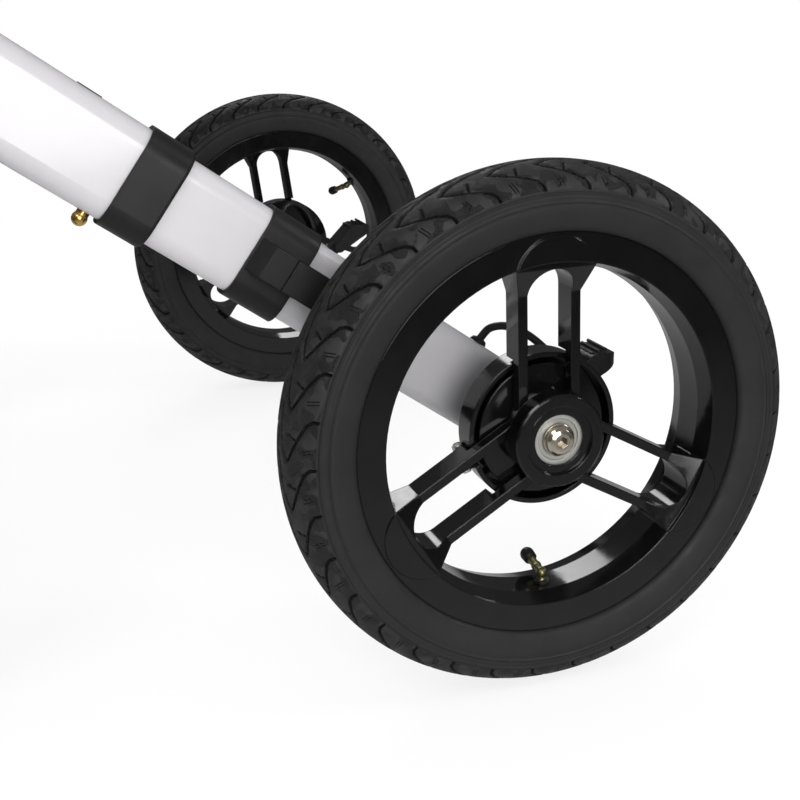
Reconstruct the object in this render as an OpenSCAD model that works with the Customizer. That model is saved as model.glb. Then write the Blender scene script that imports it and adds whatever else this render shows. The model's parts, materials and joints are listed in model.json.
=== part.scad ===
// All terrain rollator: four pneumatic wheels on a folding V frame of flat oval tube.
// +Z up, -Y is the way it is pushed, +X is the user's left. Origin on the floor, mid footprint.

/* [Wheels] */
// Outer diameter of the tyres
tyre_d = 310; // [300:1:320]
// Width of the tyres
tyre_w = 54; // [48:1:58]
// Wall of the tyre casing
tyre_wall = 4.5; // [3:0.5:6]
// Diameter of the rim flanges
rim_d = 236; // [228:1:244]
// Width of the rim over its flanges
rim_w = 44; // [40:1:46]
// Inner diameter of the rim barrel
barrel_d = 203; // [196:1:208]
// Thickness of the rim barrel and flanges
rim_wall = 3; // [2:0.5:4]
// Outer width of one spoke pair
spoke_pair_w = 38; // [34:1:42]
// Width of one spoke bar
spoke_bar_w = 5.6; // [4:0.2:8]
// Depth of a spoke bar along the axle
spoke_depth = 17; // [12:1:18]
// Turn of the left wheels' first spoke pair above the rear horizontal
spoke_turn_left = 91.8; // [60:0.1:120]
// Turn of the right wheels' first spoke pair
spoke_turn_right = 98; // [60:0.1:120]
// Diameter of the outer hub disc
hub_disc_d = 54.6; // [48:0.2:60]
// Height of the hub face outboard of the wheel centre
hub_face = 26.5; // [25:0.5:28]
// Outer diameter of a wheel bearing
bearing_d = 30; // [26:1:32]
// Width of a wheel bearing
bearing_w = 9; // [7:1:10]
// Diameter of the axle bolts
axle_d = 10; // [8:1:12]

/* [Stance] */
// Distance between the rear wheel centres
rear_track = 650; // [630:1:680]
// Distance between the left and right frame sides
frame_track = 526; // [520:1:540]
// Distance between front and rear axles
wheelbase = 470; // [460:1:490]
// Distance of the castor axis ahead of the front axle
castor_trail = 50; // [40:1:55]

/* [Rear legs] */
// Rise of the rear legs above the horizontal
leg_rise = 34.7; // [33:0.1:36]
// Drop of the leg centre line below the rear axle, square to the leg
leg_drop = 3.5; // [0:0.5:5]
// Distance from the rear axle to the fold pivot along the leg
leg_len = 500; // [490:1:520]
// Height of the upper leg section
upper_h = 56; // [54:0.5:58]
// Width of the upper leg section
upper_w = 30; // [28:0.5:32]
// Wall of all flat oval tubes
tube_wall = 1.4; // [1:0.1:1.4]
// Corner radius of the upper leg section
oval_r = 12; // [9:0.5:13]
// Gap between telescoping sections on each side
slide_gap = 0.1; // [0.05:0.05:0.2]
// Distance of the upper leg's lower end from the rear axle
upper_end = 243; // [240:1:250]
// Distance of the middle leg's lower end from the rear axle
middle_end = 158; // [156:1:162]
// Length of the middle leg held inside the upper leg
middle_overlap = 88; // [80:1:95]
// Length of the lower leg held inside the middle leg
lower_overlap = 60; // [50:1:62]
// Length of tube past the rear axle
lower_tail = 24; // [20:1:28]
// Length of the black collar on the upper leg
collar_len = 25; // [20:1:30]
// Length of the clamp on the middle leg
clamp_len = 32; // [28:1:34]
// Wall of the collar and clamp mouldings
moulding_wall = 2.4; // [2:0.1:3]
// Length of the latch block along the leg
latch_len = 47; // [40:1:48]
// Height of the latch block across the leg
latch_h = 20; // [16:1:24]
// Distance that the latch block stands out from the clamp
latch_out = 9; // [7:1:10]
// Distance of the lowest adjusting hole from the rear axle
first_hole = 28; // [26:1:34]
// Step between two adjusting holes
hole_step = 25; // [20:1:25]
// Diameter of the adjusting holes
hole_d = 8; // [6:0.5:9]

/* [Brake] */
// Outer diameter of the brake housing
brake_d = 91.6; // [86:0.2:93]
// Depth of the brake housing
brake_depth = 14; // [12:1:16]
// Wall of the brake housing
brake_wall = 3; // [2:0.5:4]
// Outer diameter of the steel drum
drum_d = 78; // [72:1:80]
// Length of the tipping pedal from its root
pedal_len = 47; // [42:1:54]
// Width of the tipping pedal
pedal_w = 30; // [26:1:34]
// Diameter of the brake cables
cable_d = 5; // [4:0.5:5]

/* [Main frame] */
// Rise of the side tubes above the horizontal
side_rise = 54; // [53:0.5:56]
// Distance from the fold pivot to the side tube's centre line
pivot_offset = 51; // [51:1:54]
// Length of the side tubes
side_len = 430; // [420:1:440]
// Distance of the seat pivot along the side tube
seat_pivot_at = 152; // [145:1:160]
// Diameter of the cross tubes
cross_d = 22; // [18:1:24]
// Diameter of the seat pivot tubes
seat_axle_d = 16; // [14:1:18]
// Diameter of the fold pivot bolts
pivot_d = 10; // [8:1:12]
// Diameter of the castor sleeves
sleeve_d = 44; // [40:1:48]
// Height of the castor sleeves
sleeve_h = 72; // [66:1:78]
// Diameter of the fork stems
stem_d = 20; // [16:1:22]

/* [Seat and backrest] */
// Depth of the seat frame between its pivots
seat_depth = 255; // [245:1:265]
// Diameter of the seat rails
rail_d = 20; // [18:1:22]
// Sag of the seat fabric in the middle
seat_sag = 22; // [12:1:30]
// Thickness of the seat fabric
seat_t = 4; // [3:0.5:5]
// Height of the backrest strap
backrest_h = 90; // [70:1:100]
// Bow of the backrest strap towards the front
backrest_bow = 95; // [70:1:110]
// Thickness of the backrest strap
backrest_t = 9; // [6:1:12]

/* [Handles] */
// Height of the handle post section
post_h = 46; // [42:1:48]
// Width of the handle post section
post_w = 20; // [18:1:22]
// Length of the handle posts
post_len = 330; // [320:1:340]
// Length of the handle post that shows above the side tube
post_out = 112; // [100:1:130]
// Diameter of the handle bars
bar_d = 20; // [18:1:22]
// Length of the hand grips
grip_len = 132; // [120:1:140]
// Diameter of the hand grips
grip_d = 33; // [30:1:36]

/* [Hidden] */
$fn = 64;
axle_z = tyre_d / 2;
rear_y = wheelbase / 2;
front_y = -wheelbase / 2;
leg_x = frame_track / 2;
wheel_x = rear_track / 2;
wheel_in = wheel_x - leg_x;
seat_fit = 0.3;
pin_fit = 0.05;
glossy = [0.09, 0.09, 0.1];
satin = [0.17, 0.165, 0.17];
tube_white = [0.87, 0.865, 0.875];
rubber = [0.2, 0.2, 0.2];
nickel = [0.72, 0.7, 0.66];

// Flat oval sections, largest first, each sliding inside the one before
middle_h = upper_h - 2 * tube_wall - 2 * slide_gap;
middle_w = upper_w - 2 * tube_wall - 2 * slide_gap;
middle_r = oval_r - tube_wall - slide_gap;
lower_h = middle_h - 2 * tube_wall - 2 * slide_gap;
lower_w = middle_w - 2 * tube_wall - 2 * slide_gap;
lower_r = middle_r - tube_wall - slide_gap;

// Fold pivot and main frame points, as [y, z]
leg_dir = [-cos(leg_rise), sin(leg_rise)];
leg_up = [sin(leg_rise), cos(leg_rise)];
rear_axle = [rear_y, axle_z];
fold_pivot = rear_axle + leg_len * leg_dir - leg_drop * leg_up;
side_dir = [cos(side_rise), sin(side_rise)];
side_down = [sin(side_rise), -cos(side_rise)];
side_foot = fold_pivot - pivot_offset * side_down;
seat_pivot = side_foot + seat_pivot_at * side_dir;
seat_rear = seat_pivot + [seat_depth, 0];
link_at = 100;
stub_d = 7;
eye_d = 15.6;
link_pivot = fold_pivot - link_at * leg_dir;
castor_y = front_y - castor_trail;
sleeve_z = axle_z + tyre_d / 2 + 41;
link_t = 5;
link_x = leg_x - upper_w / 2 - link_t - 0.5;
rail_x = link_x - 1 - seat_t - seat_fit - rail_d / 2;
side_top = side_foot + side_len * side_dir;
post_top = side_foot + (side_len + post_out) * side_dir;
hub_in = wheel_in - lower_w / 2;

// Placing helpers
module both() {
    children();
    mirror([1, 0, 0]) children();
}

// Extrudes a profile drawn in the YZ plane along +X
module slab(x0, t) {
    translate([x0, 0, 0]) rotate([90, 0, 90]) linear_extrude(t) children();
}

// Local Z outboard along the rear axle, origin at the wheel centre
module at_rear_wheel() {
    translate([wheel_x, rear_y, axle_z]) rotate([0, 90, 0]) children();
}

module at_front_wheel() {
    translate([leg_x, front_y, axle_z]) rotate([0, 90, 0]) children();
}

// Local Z up the leg, local Y square to it, origin level with the rear axle
module on_leg() {
    translate([leg_x, rear_y, axle_z]) rotate([90 - leg_rise, 0, 0])
        translate([0, -leg_drop, 0]) children();
}

// Local Z up the side tube, local Y down and back, origin at the tube's foot
module on_side_tube() {
    translate([leg_x, side_foot.x, side_foot.y]) rotate([side_rise - 90, 0, 0]) children();
}

// Rounded rectangle about the origin, x wide and y high
module flat_oval(w, h, r) {
    square([w - 2 * r, h], center = true);
    square([w, h - 2 * r], center = true);
    for (x = [-1, 1], y = [-1, 1])
        translate([x * (w / 2 - r), y * (h / 2 - r)]) circle(r);
}

module oval_tube(w, h, r, wall, len) {
    linear_extrude(len) difference() {
        flat_oval(w, h, r);
        flat_oval(w - 2 * wall, h - 2 * wall, r - wall);
    }
}

// Two circles joined by their outer tangents
module tapered_bar(a, ra, b, rb) {
    d = norm(b - a);
    t = atan2(b.y - a.y, b.x - a.x);
    s = acos((ra - rb) / d);
    translate(a) circle(ra);
    translate(b) circle(rb);
    polygon([a + ra * [cos(t + s), sin(t + s)], a + ra * [cos(t - s), sin(t - s)],
        b + rb * [cos(t - s), sin(t - s)], b + rb * [cos(t + s), sin(t + s)]]);
}

// A straight round bar from a to b
module rod(a, b, d) {
    v = b - a;
    translate(a) rotate([0, acos(v.z / norm(v)), atan2(v.y, v.x)]) cylinder(h = norm(v), d = d);
}

// A round cord swept along points, as one closed polyhedron
module sweep(points, d, sides) {
    n = len(points);
    dirs = [for (i = [0:n - 1])
        let (v = points[min(i + 1, n - 1)] - points[max(i - 1, 0)]) v / norm(v)];
    rings = [for (i = [0:n - 1])
        let (u0 = cross(dirs[i], [1, 0, 0.03]), u = u0 / norm(u0), v = cross(dirs[i], u))
        for (k = [0:sides - 1])
            points[i] + d / 2 * (cos(k * 360 / sides) * u + sin(k * 360 / sides) * v)];
    walls = [for (i = [0:n - 2], k = [0:sides - 1])
        let (a = i * sides + k, b = i * sides + (k + 1) % sides)
        each [[a, b, b + sides], [a, b + sides, a + sides]]];
    first = [for (k = [1:sides - 2]) [0, k + 1, k]];
    last = [for (k = [1:sides - 2]) [for (j = [0, k, k + 1]) (n - 1) * sides + j]];
    polyhedron(rings, concat(walls, first, last));
}

// Point on a Catmull-Rom curve through p, at stretch i and fraction t
function along(p, i, t) =
    let (n = len(p), a = p[max(i - 1, 0)], b = p[i], c = p[min(i + 1, n - 1)],
        d = p[min(i + 2, n - 1)])
    0.5 * (2 * b + (c - a) * t + (2 * a - 5 * b + 4 * c - d) * t * t
        + (3 * b - a - 3 * c + d) * t * t * t);

function smooth_path(p, per) =
    [for (i = [0:len(p) - 2], k = [0:per - 1]) along(p, i, k / per), p[len(p) - 1]];

// Wheel
bead_d = barrel_d + 2 * rim_wall;
crown_r = tyre_d / 2;
flange_r = rim_d / 2;
section_mid = (flange_r + crown_r) / 2 - 1;
// Tyre outside: a squared oval, drawn from one bead over the crown to the other
function tyre_side(a, w, top) =
    let (c = cos(a), s = sin(a), e = 2 / 2.3)
    [section_mid + (top - section_mid) * pow(abs(s), e), sign(c) * w / 2 * pow(abs(c), e)];

module tyre() {
    fit = 0.2;
    seat = rim_w / 2 - rim_wall - fit;
    in_w = tyre_w - 2 * tyre_wall;
    outer = [for (a = [0:7.5:180]) tyre_side(a, tyre_w, crown_r)];
    inner = [for (a = [180:-12:0]) tyre_side(a, in_w, crown_r - tyre_wall - 2)];
    rotate_extrude($fn = 96) polygon(concat(
        [[bead_d / 2 + fit, seat - 6], [bead_d / 2 + fit, seat],
            [flange_r + fit, seat], [flange_r + fit, rim_w / 2 + 0.5]],
        outer,
        [[flange_r + fit, -rim_w / 2 - 0.5], [flange_r + fit, -seat],
            [bead_d / 2 + fit, -seat], [bead_d / 2 + fit, 6 - seat]],
        inner));
}

// Inner tube inside the tyre, with its bent valve through the rim barrel at a turn of `turn`
tube_clear = 0.5;
valve_r = barrel_d / 2 - 9;
valve_drop = 3;
valve_drop_far = 13;
valve_reach = 20;
module inner_tube(turn, end) {
    top = crown_r - tyre_wall - 2;
    mid = (bead_d / 2 + top) / 2;
    tube_r = min((top - bead_d / 2) / 2 - tube_clear, (rim_w / 2 - rim_wall) - tube_clear);
    rotate_extrude($fn = 96) translate([mid, 0]) circle(tube_r, $fn = 32);
    rotate([0, 0, turn + 90]) {
        rod([valve_r, 0, 0], [mid - tube_r + 2, 0, 0], 6);
        translate([valve_r, 0, 0]) sphere(3.4);
        rod([valve_r, 0, 0], end, 5.5);
        translate(end) sphere(4.6);
    }
}
valve_end = [valve_r - valve_drop, 0, -valve_reach];
valve_end_far = [valve_r - valve_drop_far, 0, valve_reach];
valve_turn_left = spoke_turn_left + 180;
valve_turn_right = spoke_turn_right - 60;

cam_turn = -80;
cam_r = 30;
cam_d = 8;
bearing_foot = -14;
stay_step = 22;
stop_at = [29, 4];
clamp_lug_turn = 200;
cable_z = -21;
spoke_front = 12;
spoke_back = spoke_front - spoke_depth;
brake_front = 3;
brake_clear = 2.2;
flare_from = 82;
pad_w = 50;
pad_rise = 0.8;
module spoke_outline() {
    half = spoke_pair_w / 2;
    slot_w = spoke_pair_w - 2 * spoke_bar_w;
    slot_end = barrel_d / 2 - 4 - slot_w / 2;
    difference() {
        union() {
            translate([0, -half]) square([barrel_d / 2 + 1, spoke_pair_w]);
            polygon([[flare_from, -half], [barrel_d / 2, -half - 6],
                [barrel_d / 2, half + 6], [flare_from, half]]);
        }
        translate([0, -slot_w / 2]) square([slot_end, slot_w]);
        translate([slot_end, 0]) circle(d = slot_w);
    }
}

// Pair of spoke bars, rising at the rim to a round-ended pad on the rim face
module spoke_pair() {
    root = brake_d / 2 + brake_clear;
    face = rim_w / 2;
    difference() {
        intersection() {
            translate([0, 0, spoke_back]) linear_extrude(face - spoke_back) spoke_outline();
            rotate([90, 0, 0]) linear_extrude(spoke_pair_w + 14, center = true) polygon([
                [0, spoke_back], [barrel_d / 2 + 1, spoke_back], [barrel_d / 2 + 1, face - 1],
                [barrel_d / 2 - 4, face - 1], [flare_from, spoke_front], [0, spoke_front]]);
        }
        translate([0, 0, spoke_back - 1]) cylinder(h = brake_front + 2.5 - spoke_back, r = root);
        translate([0, 0, spoke_back - 1]) cylinder(h = spoke_depth + 2, r = 20);
    }
    translate([0, 0, face - 1]) linear_extrude(1 + pad_rise) intersection() {
        translate([flange_r - 1.5 - pad_w / 2, 0]) circle(d = pad_w);
        difference() {
            circle(r = flange_r - 1.6);
            circle(r = barrel_d / 2 - 0.2);
        }
    }
}

// Cast wheel: rim, three spoke pairs and hub, with a brake drum on the rear ones
module rim(turn, valve, braked) {
    back = braked ? bearing_foot : -hub_face;
    sunk = braked ? 0 : 0.5;
    core_r = bearing_d / 2 + 5;
    rotate([0, 0, turn]) difference() {
        union() {
            rotate_extrude($fn = 96) polygon([
                [barrel_d / 2, rim_w / 2], [flange_r, rim_w / 2],
                [flange_r, rim_w / 2 - rim_wall], [bead_d / 2, rim_w / 2 - rim_wall],
                [bead_d / 2 - 2.2, 8], [bead_d / 2 - 2.2, -8],
                [bead_d / 2, rim_wall - rim_w / 2], [flange_r, rim_wall - rim_w / 2],
                [flange_r, -rim_w / 2], [barrel_d / 2, -rim_w / 2],
                [barrel_d / 2 - 3, -10], [barrel_d / 2 - 3, 10]]);
            for (k = [0:2]) rotate([0, 0, 90 + 120 * k]) spoke_pair();
            rotate_extrude() polygon([
                [0, back], [core_r, back], [core_r, 1], [core_r + 3.4, 3.6],
                [hub_disc_d / 2 - 2, 13],
                [hub_disc_d / 2, 15], [hub_disc_d / 2, hub_face - 1],
                [hub_disc_d / 2 - 1, hub_face], [0, hub_face]]);
            if (!braked) rotate_extrude() polygon([
                [0, -hub_face], [hub_disc_d / 2 - 1, -hub_face],
                [hub_disc_d / 2, 1 - hub_face], [hub_disc_d / 2, -15],
                [core_r + 5, -4.2], [0, -4.2]]);
            if (braked) drum_web();
        }
        // Stepped mouth, bearing seats and axle bore
        translate([0, 0, hub_face - 2]) cylinder(h = 3, r = 20);
        translate([0, 0, bearing_top - bearing_w + sunk]) cylinder(h = 30, d = bearing_d - 2 * sunk);
        if (braked) translate([0, 0, back - 1]) cylinder(h = bearing_w + 1, d = bearing_d);
        else translate([0, 0, -30 - bearing_top + bearing_w - sunk])
            cylinder(h = 30, d = bearing_d - 2 * sunk);
        cylinder(h = 80, d = bearing_d - 6, center = true);
        if (!braked) translate([0, 0, -hub_face - 1]) cylinder(h = 3, r = 20);
        rotate([0, 0, valve - turn + 90]) translate([barrel_d / 2 - 8, 0, 0])
            rotate([0, 90, 0]) cylinder(h = 16, d = 6.4);
    }
}

// Rotating brake drum, a cup on the hub, open towards the leg
bearing_top = hub_face - 3.5;
drum_top = brake_front - 1.5;
module drum_web() {
    rotate_extrude() polygon([[15, drum_top - 3], [drum_d / 2, drum_top - 3],
        [drum_d / 2, drum_top], [15, drum_top + 2]]);
    difference() {
        translate([0, 0, -9]) cylinder(h = 9 + drum_top, d = drum_d);
        translate([0, 0, -10]) cylinder(h = 7 + drum_top, d = drum_d - 7);
    }
}

module bearing(both_faces = true) {
    bore = axle_d / 2 + pin_fit;
    rotate_extrude() difference() {
        translate([bore, 0]) square([bearing_d / 2 - bore, bearing_w]);
        translate([bore + 2.6, bearing_w - 0.8]) square([bearing_d / 2 - bore - 5.2, 2]);
        if (both_faces) translate([bore + 2.6, -1.2]) square([bearing_d / 2 - bore - 5.2, 2]);
    }
}

module tyre_rear_left() { color(rubber) at_rear_wheel() tyre(); }
module tyre_rear_right() { color(rubber) mirror([1, 0, 0]) at_rear_wheel() tyre(); }
module inner_tube_rear_left() {
    color(rubber) at_rear_wheel() inner_tube(valve_turn_left, valve_end);
}
module inner_tube_rear_right() {
    color(rubber) mirror([1, 0, 0]) at_rear_wheel() inner_tube(valve_turn_right, valve_end_far);
}
module rim_rear_left() {
    color(glossy) at_rear_wheel() rim(spoke_turn_left, valve_turn_left, true);
}
module rim_rear_right() {
    color(glossy) mirror([1, 0, 0]) at_rear_wheel() rim(spoke_turn_right, valve_turn_right, true);
}

module rear_bearings() {
    color("silver") at_rear_wheel() {
        translate([0, 0, bearing_top - bearing_w]) bearing();
        translate([0, 0, bearing_foot]) bearing();
    }
}
module bearings_rear_left() { rear_bearings(); }
module bearings_rear_right() { mirror([1, 0, 0]) rear_bearings(); }

// Button head bolt through the wheel, housing and leg, with spacer, washer and nut
module rear_axle() {
    far = -wheel_in - lower_w / 2;
    nut_h = 8;
    color(nickel) at_rear_wheel() {
        difference() {
            union() {
                translate([0, 0, far - nut_h - 2]) cylinder(h = bearing_top + 0.1 - far + nut_h + 2, d = axle_d);
                translate([0, 0, bearing_top + 0.1]) rotate_extrude() polygon([[0, 0], [9.4, 0],
                    [9.4, 1.2], [8.8, 1.6], [8.4, 3.4], [7, 5], [5, 5.8], [0, 5.8]]);
            }
            translate([0, 0, bearing_top + 2]) cylinder(h = 6, d = 7, $fn = 6);
        }
        translate([0, 0, far - 1.6]) difference() {
            cylinder(h = 1.5, d = 2 * axle_d);
            translate([0, 0, -1]) cylinder(h = 4, d = axle_d);
        }
        translate([0, 0, far - 1.6 - nut_h]) difference() {
            cylinder(h = nut_h, d = 18.5, $fn = 6);
            translate([0, 0, -1]) cylinder(h = nut_h + 2, d = axle_d);
        }
    }
}
module axle_rear_left() { rear_axle(); }
module axle_rear_right() { mirror([1, 0, 0]) rear_axle(); }

// Fixed brake housing: a cup open outboard, on a stay that reaches the leg
brake_floor = brake_front - brake_depth;
brake_back = brake_floor - brake_wall;
flange_t = 4;
arm_t = 5;
arm_z = brake_back - flange_t - 0.5 - arm_t;
lug_w = 10;
lug_h = 8;
lug_foot = arm_z - 4;
module brake_housing() {
    color(glossy) at_rear_wheel() difference() {
        union() {
            difference() {
                translate([0, 0, brake_back]) cylinder(h = brake_depth + brake_wall, d = brake_d);
                translate([0, 0, brake_floor])
                    cylinder(h = brake_depth + 1, d = brake_d - 2 * brake_wall);
            }
            // Flange behind the floor, and the stay reaching the flat of the leg
            translate([0, 0, brake_back - flange_t]) cylinder(h = flange_t + 1, r = 25);
            translate([0, 0, -hub_in]) rotate_extrude() polygon([[0, 0], [19, 0], [19, stay_step],
                [15, stay_step + 4], [15, hub_in + brake_back], [0, hub_in + brake_back]]);
            // Lug on the wall that holds the housing's clamp screw
            rotate([0, 0, 90 + clamp_lug_turn]) translate([brake_d / 2 - 2, -7, brake_back])
                cube([7, 14, spoke_back - 0.8 - brake_back]);
            // Lug at the back that stops the outer cable
            translate([-stop_at.y - lug_h, stop_at.x - lug_w / 2, lug_foot])
                cube([lug_h, lug_w, brake_back + 1 - lug_foot]);
        }
        translate([0, 0, -hub_in - 1]) cylinder(h = hub_in + 30, d = axle_d + 2 * pin_fit);
        translate([0, 0, bearing_foot - seat_fit]) cylinder(h = 20, r = bearing_d / 2 + 7);
        rotate([0, 0, 90 + clamp_lug_turn]) translate([brake_d / 2 - 10, -3, brake_floor + 2])
            cube([20, 6, 20]);
        rotate([0, 0, 90 + cam_turn]) translate([cam_r, 0, brake_floor - 20])
            cylinder(h = 40, d = cam_d + 2 * pin_fit);
        // Slot in the lug for the inner wire
        translate([-stop_at.y - lug_h + 2.5, stop_at.x - lug_w, cable_z - 1.5])
            cube([lug_h, 2 * lug_w, 3]);
    }
}
module brake_housing_left() { brake_housing(); }
module brake_housing_right() { mirror([1, 0, 0]) brake_housing(); }

// Two lined shoes on the housing floor, open at the cam and at the anchor pin
module brake_shoes() {
    shoe_out = drum_d / 2 - 3.5 - 0.7;
    color("dimgray") at_rear_wheel() {
        difference() {
            translate([0, 0, brake_floor + 0.1]) cylinder(h = 7, r = shoe_out);
            translate([0, 0, brake_floor - 1]) cylinder(h = 10, r = shoe_out - 10);
            rotate([0, 0, 90 + cam_turn]) translate([0, -5, brake_floor - 1]) cube([60, 10, 10]);
            rotate([0, 0, 270 + cam_turn]) translate([0, -5, brake_floor - 1]) cube([60, 10, 10]);
        }
        // Anchor pin between the two heels
        rotate([0, 0, 270 + cam_turn]) translate([cam_r, 0, brake_floor + 0.1])
            cylinder(h = 7, d = 9);
    }
}
module brake_shoes_left() { brake_shoes(); }
module brake_shoes_right() { mirror([1, 0, 0]) brake_shoes(); }

// Cam shaft through the housing floor, with the arm and the inner wire that pulls it
cam_at = cam_r * [cos(cam_turn), sin(cam_turn)];
arm_tip = [stop_at.x + 1, -9];
module brake_arm() {
    color("dimgray") at_rear_wheel() {
        rotate([0, 0, 90 + cam_turn]) translate([cam_r, 0, 0]) {
            translate([0, 0, arm_z]) cylinder(h = brake_floor + 0.5 - arm_z, d = cam_d);
            translate([-3.5, -3.5, brake_floor + 0.4]) cube([7, 7, 6]);
        }
        translate([0, 0, arm_z]) linear_extrude(arm_t) rotate(90)
            tapered_bar(cam_at, 7.5, arm_tip, 4.5);
        rod([-arm_tip.y, arm_tip.x, cable_z], [-stop_at.y - 1.5, arm_tip.x, cable_z], 1.6);
    }
}
module brake_arm_left() { brake_arm(); }
module brake_arm_right() { mirror([1, 0, 0]) brake_arm(); }

// Outer cable from the leg's top face over to the lug on the housing, as [x, y, z] from the axle
cable_exit = 33;
exit_yz = cable_exit * leg_dir + (lower_h / 2 - leg_drop) * leg_up;
cable_x = wheel_in + cable_z;
cable_route = [
    [0, exit_yz.x, exit_yz.y], [1, exit_yz.x + 3, exit_yz.y + 5], [4, -8, 47], [10, 1, 48.5],
    [18, 11, 44], [27, 20, 35], [35, 26, 25], [cable_x - 1, 29, 17],
    [cable_x, stop_at.x, stop_at.y + lug_h]];
module brake_cable() {
    pts = smooth_path(cable_route, 3);
    color("black") translate([leg_x, rear_y, axle_z]) sweep(pts, cable_d, 8);
}
module brake_cable_left() { brake_cable(); }
module brake_cable_right() { mirror([1, 0, 0]) brake_cable(); }

// Legs, lowest section first
lower_top = middle_end + lower_overlap;
module hole_below(s, d) {
    translate([0, 0, s]) rotate([90, 0, 0]) cylinder(h = upper_h, d = d);
}

module lower_leg() {
    color(tube_white) on_leg() difference() {
        translate([0, 0, -lower_tail])
            oval_tube(lower_w, lower_h, lower_r, tube_wall, lower_tail + lower_top);
        translate([0, leg_drop, 0]) rotate([0, 90, 0])
            cylinder(h = 2 * lower_w, d = axle_d + 2 * pin_fit, center = true);
        for (k = [0:1]) hole_below(first_hole + k * hole_step, hole_d);
        translate([0, lower_h / 2 - 5, cable_exit]) rotate([-90, 0, 0]) cylinder(h = 10, d = 3);
    }
}
module lower_leg_left() { lower_leg(); }
module lower_leg_right() { mirror([1, 0, 0]) lower_leg(); }

// Moulded end that closes the tube, in one piece with the tipping pedal
module leg_end() {
    plug_w = lower_w - 2 * tube_wall - 2 * slide_gap;
    plug_h = lower_h - 2 * tube_wall - 2 * slide_gap;
    plug_r = lower_r - tube_wall - slide_gap;
    color(satin) on_leg() difference() {
        union() {
            translate([0, 0, 14 - lower_tail]) mirror([0, 0, 1]) linear_extrude(14)
                flat_oval(plug_w, plug_h, plug_r);
            translate([0, 0, -lower_tail - 3]) linear_extrude(3) flat_oval(lower_w, lower_h, lower_r);
            translate([0, 0, -lower_tail - 6]) linear_extrude(3.1)
                flat_oval(lower_w - 5, lower_h - 5, lower_r - 2.5);
        }
        translate([0, leg_drop, 0]) rotate([0, 90, 0])
            cylinder(h = 2 * lower_w, d = axle_d + 2 * pin_fit + 1, center = true);
    }
    color(satin) tip_pedal();
}
module leg_end_left() { leg_end(); }
module leg_end_right() { mirror([1, 0, 0]) leg_end(); }

// Tipping pedal: a root on the leg end, rising to a ridged paddle behind the wheel
pedal_root_w = 14;
pedal_rise = 40;
paddle_rise = 15;
pedal_root = rear_axle - (lower_tail + 6) * leg_dir + (lower_h / 2 - leg_drop - 6) * leg_up;
module tip_pedal() {
    dir = [cos(pedal_rise), sin(pedal_rise)];
    flat = [cos(paddle_rise), sin(paddle_rise)];
    over = [-sin(paddle_rise), cos(paddle_rise)];
    bend = pedal_root + (pedal_len - 12) * dir;
    tip = bend + 12 * flat;
    {
        difference() {
            slab(leg_x - pedal_w / 2, pedal_w) {
                tapered_bar(pedal_root + 12 * dir, 5, bend, 7.5);
                tapered_bar(bend, 7.5, tip, 4.5);
            }
            // Rounded corners of the paddle, seen from above
            for (m = [0, 1]) translate([leg_x, 0, 0]) mirror([m, 0, 0])
                translate([pedal_w / 2 - 9, tip.x - 5, 0]) difference() {
                    cube([20, 20, 900]);
                    cylinder(h = 2000, r = 9, center = true);
                }
        }
        slab(leg_x - pedal_root_w / 2, pedal_root_w)
            tapered_bar(pedal_root, 5.5, pedal_root + 16 * dir, 5);
        for (k = [0:3]) slab(leg_x - pedal_w / 2 + 3, pedal_w - 6)
            translate(bend + (4.5 * k - 4) * flat + 7.3 * over) circle(1.1, $fn = 16);
    }
}

middle_top = upper_end + middle_overlap;
snap_at = 273;
module middle_leg() {
    color(tube_white) on_leg() difference() {
        translate([0, 0, middle_end])
            oval_tube(middle_w, middle_h, middle_r, tube_wall, middle_top - middle_end);
        for (k = [0:3]) hole_below(snap_at - k * hole_step, hole_d);
    }
}
module middle_leg_left() { middle_leg(); }
module middle_leg_right() { mirror([1, 0, 0]) middle_leg(); }

// Clamp on the end of the middle leg, with the housing of its latch
clamp_top = middle_end - moulding_wall + clamp_len;
latch_foot = clamp_top - 3 - latch_len;
latch_split = latch_foot + 27;
clamp_w = middle_w + 2 * moulding_wall;
clamp_h = middle_h + 2 * moulding_wall;
clamp_r = middle_r + moulding_wall;
module leg_clamp() {
    color(satin) on_leg() difference() {
        union() {
            translate([0, 0, clamp_top - clamp_len]) linear_extrude(clamp_len)
                flat_oval(clamp_w, clamp_h, clamp_r);
            // Housing of the latch, sloped at its upper end
            translate([0, latch_h / 2 + 1, 0]) rotate([90, 0, 0]) linear_extrude(latch_h) polygon([
                [clamp_w / 2 - 4, latch_split + 0.6], [clamp_w / 2 + latch_out + 0.8, latch_split + 0.6],
                [clamp_w / 2 + latch_out + 0.8, clamp_top - 8], [clamp_w / 2, clamp_top - 1],
                [clamp_w / 2 - 4, clamp_top - 1]]);
        }
        translate([0, 0, middle_end]) linear_extrude(clamp_len)
            flat_oval(middle_w + 2 * slide_gap, middle_h + 2 * slide_gap, middle_r + slide_gap);
        translate([0, 0, middle_end - moulding_wall - 1]) linear_extrude(clamp_len)
            flat_oval(lower_w + 2 * slide_gap, lower_h + 2 * slide_gap, lower_r + slide_gap);
        latch_pocket();
    }
}
// Room for the latch's tongue inside the housing
module latch_pocket() {
    translate([clamp_w / 2 + 1, 1 - latch_h / 2 + 3.7, latch_split - 30])
        cube([latch_out - 2.2, latch_h - 7.4, 42]);
}

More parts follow.
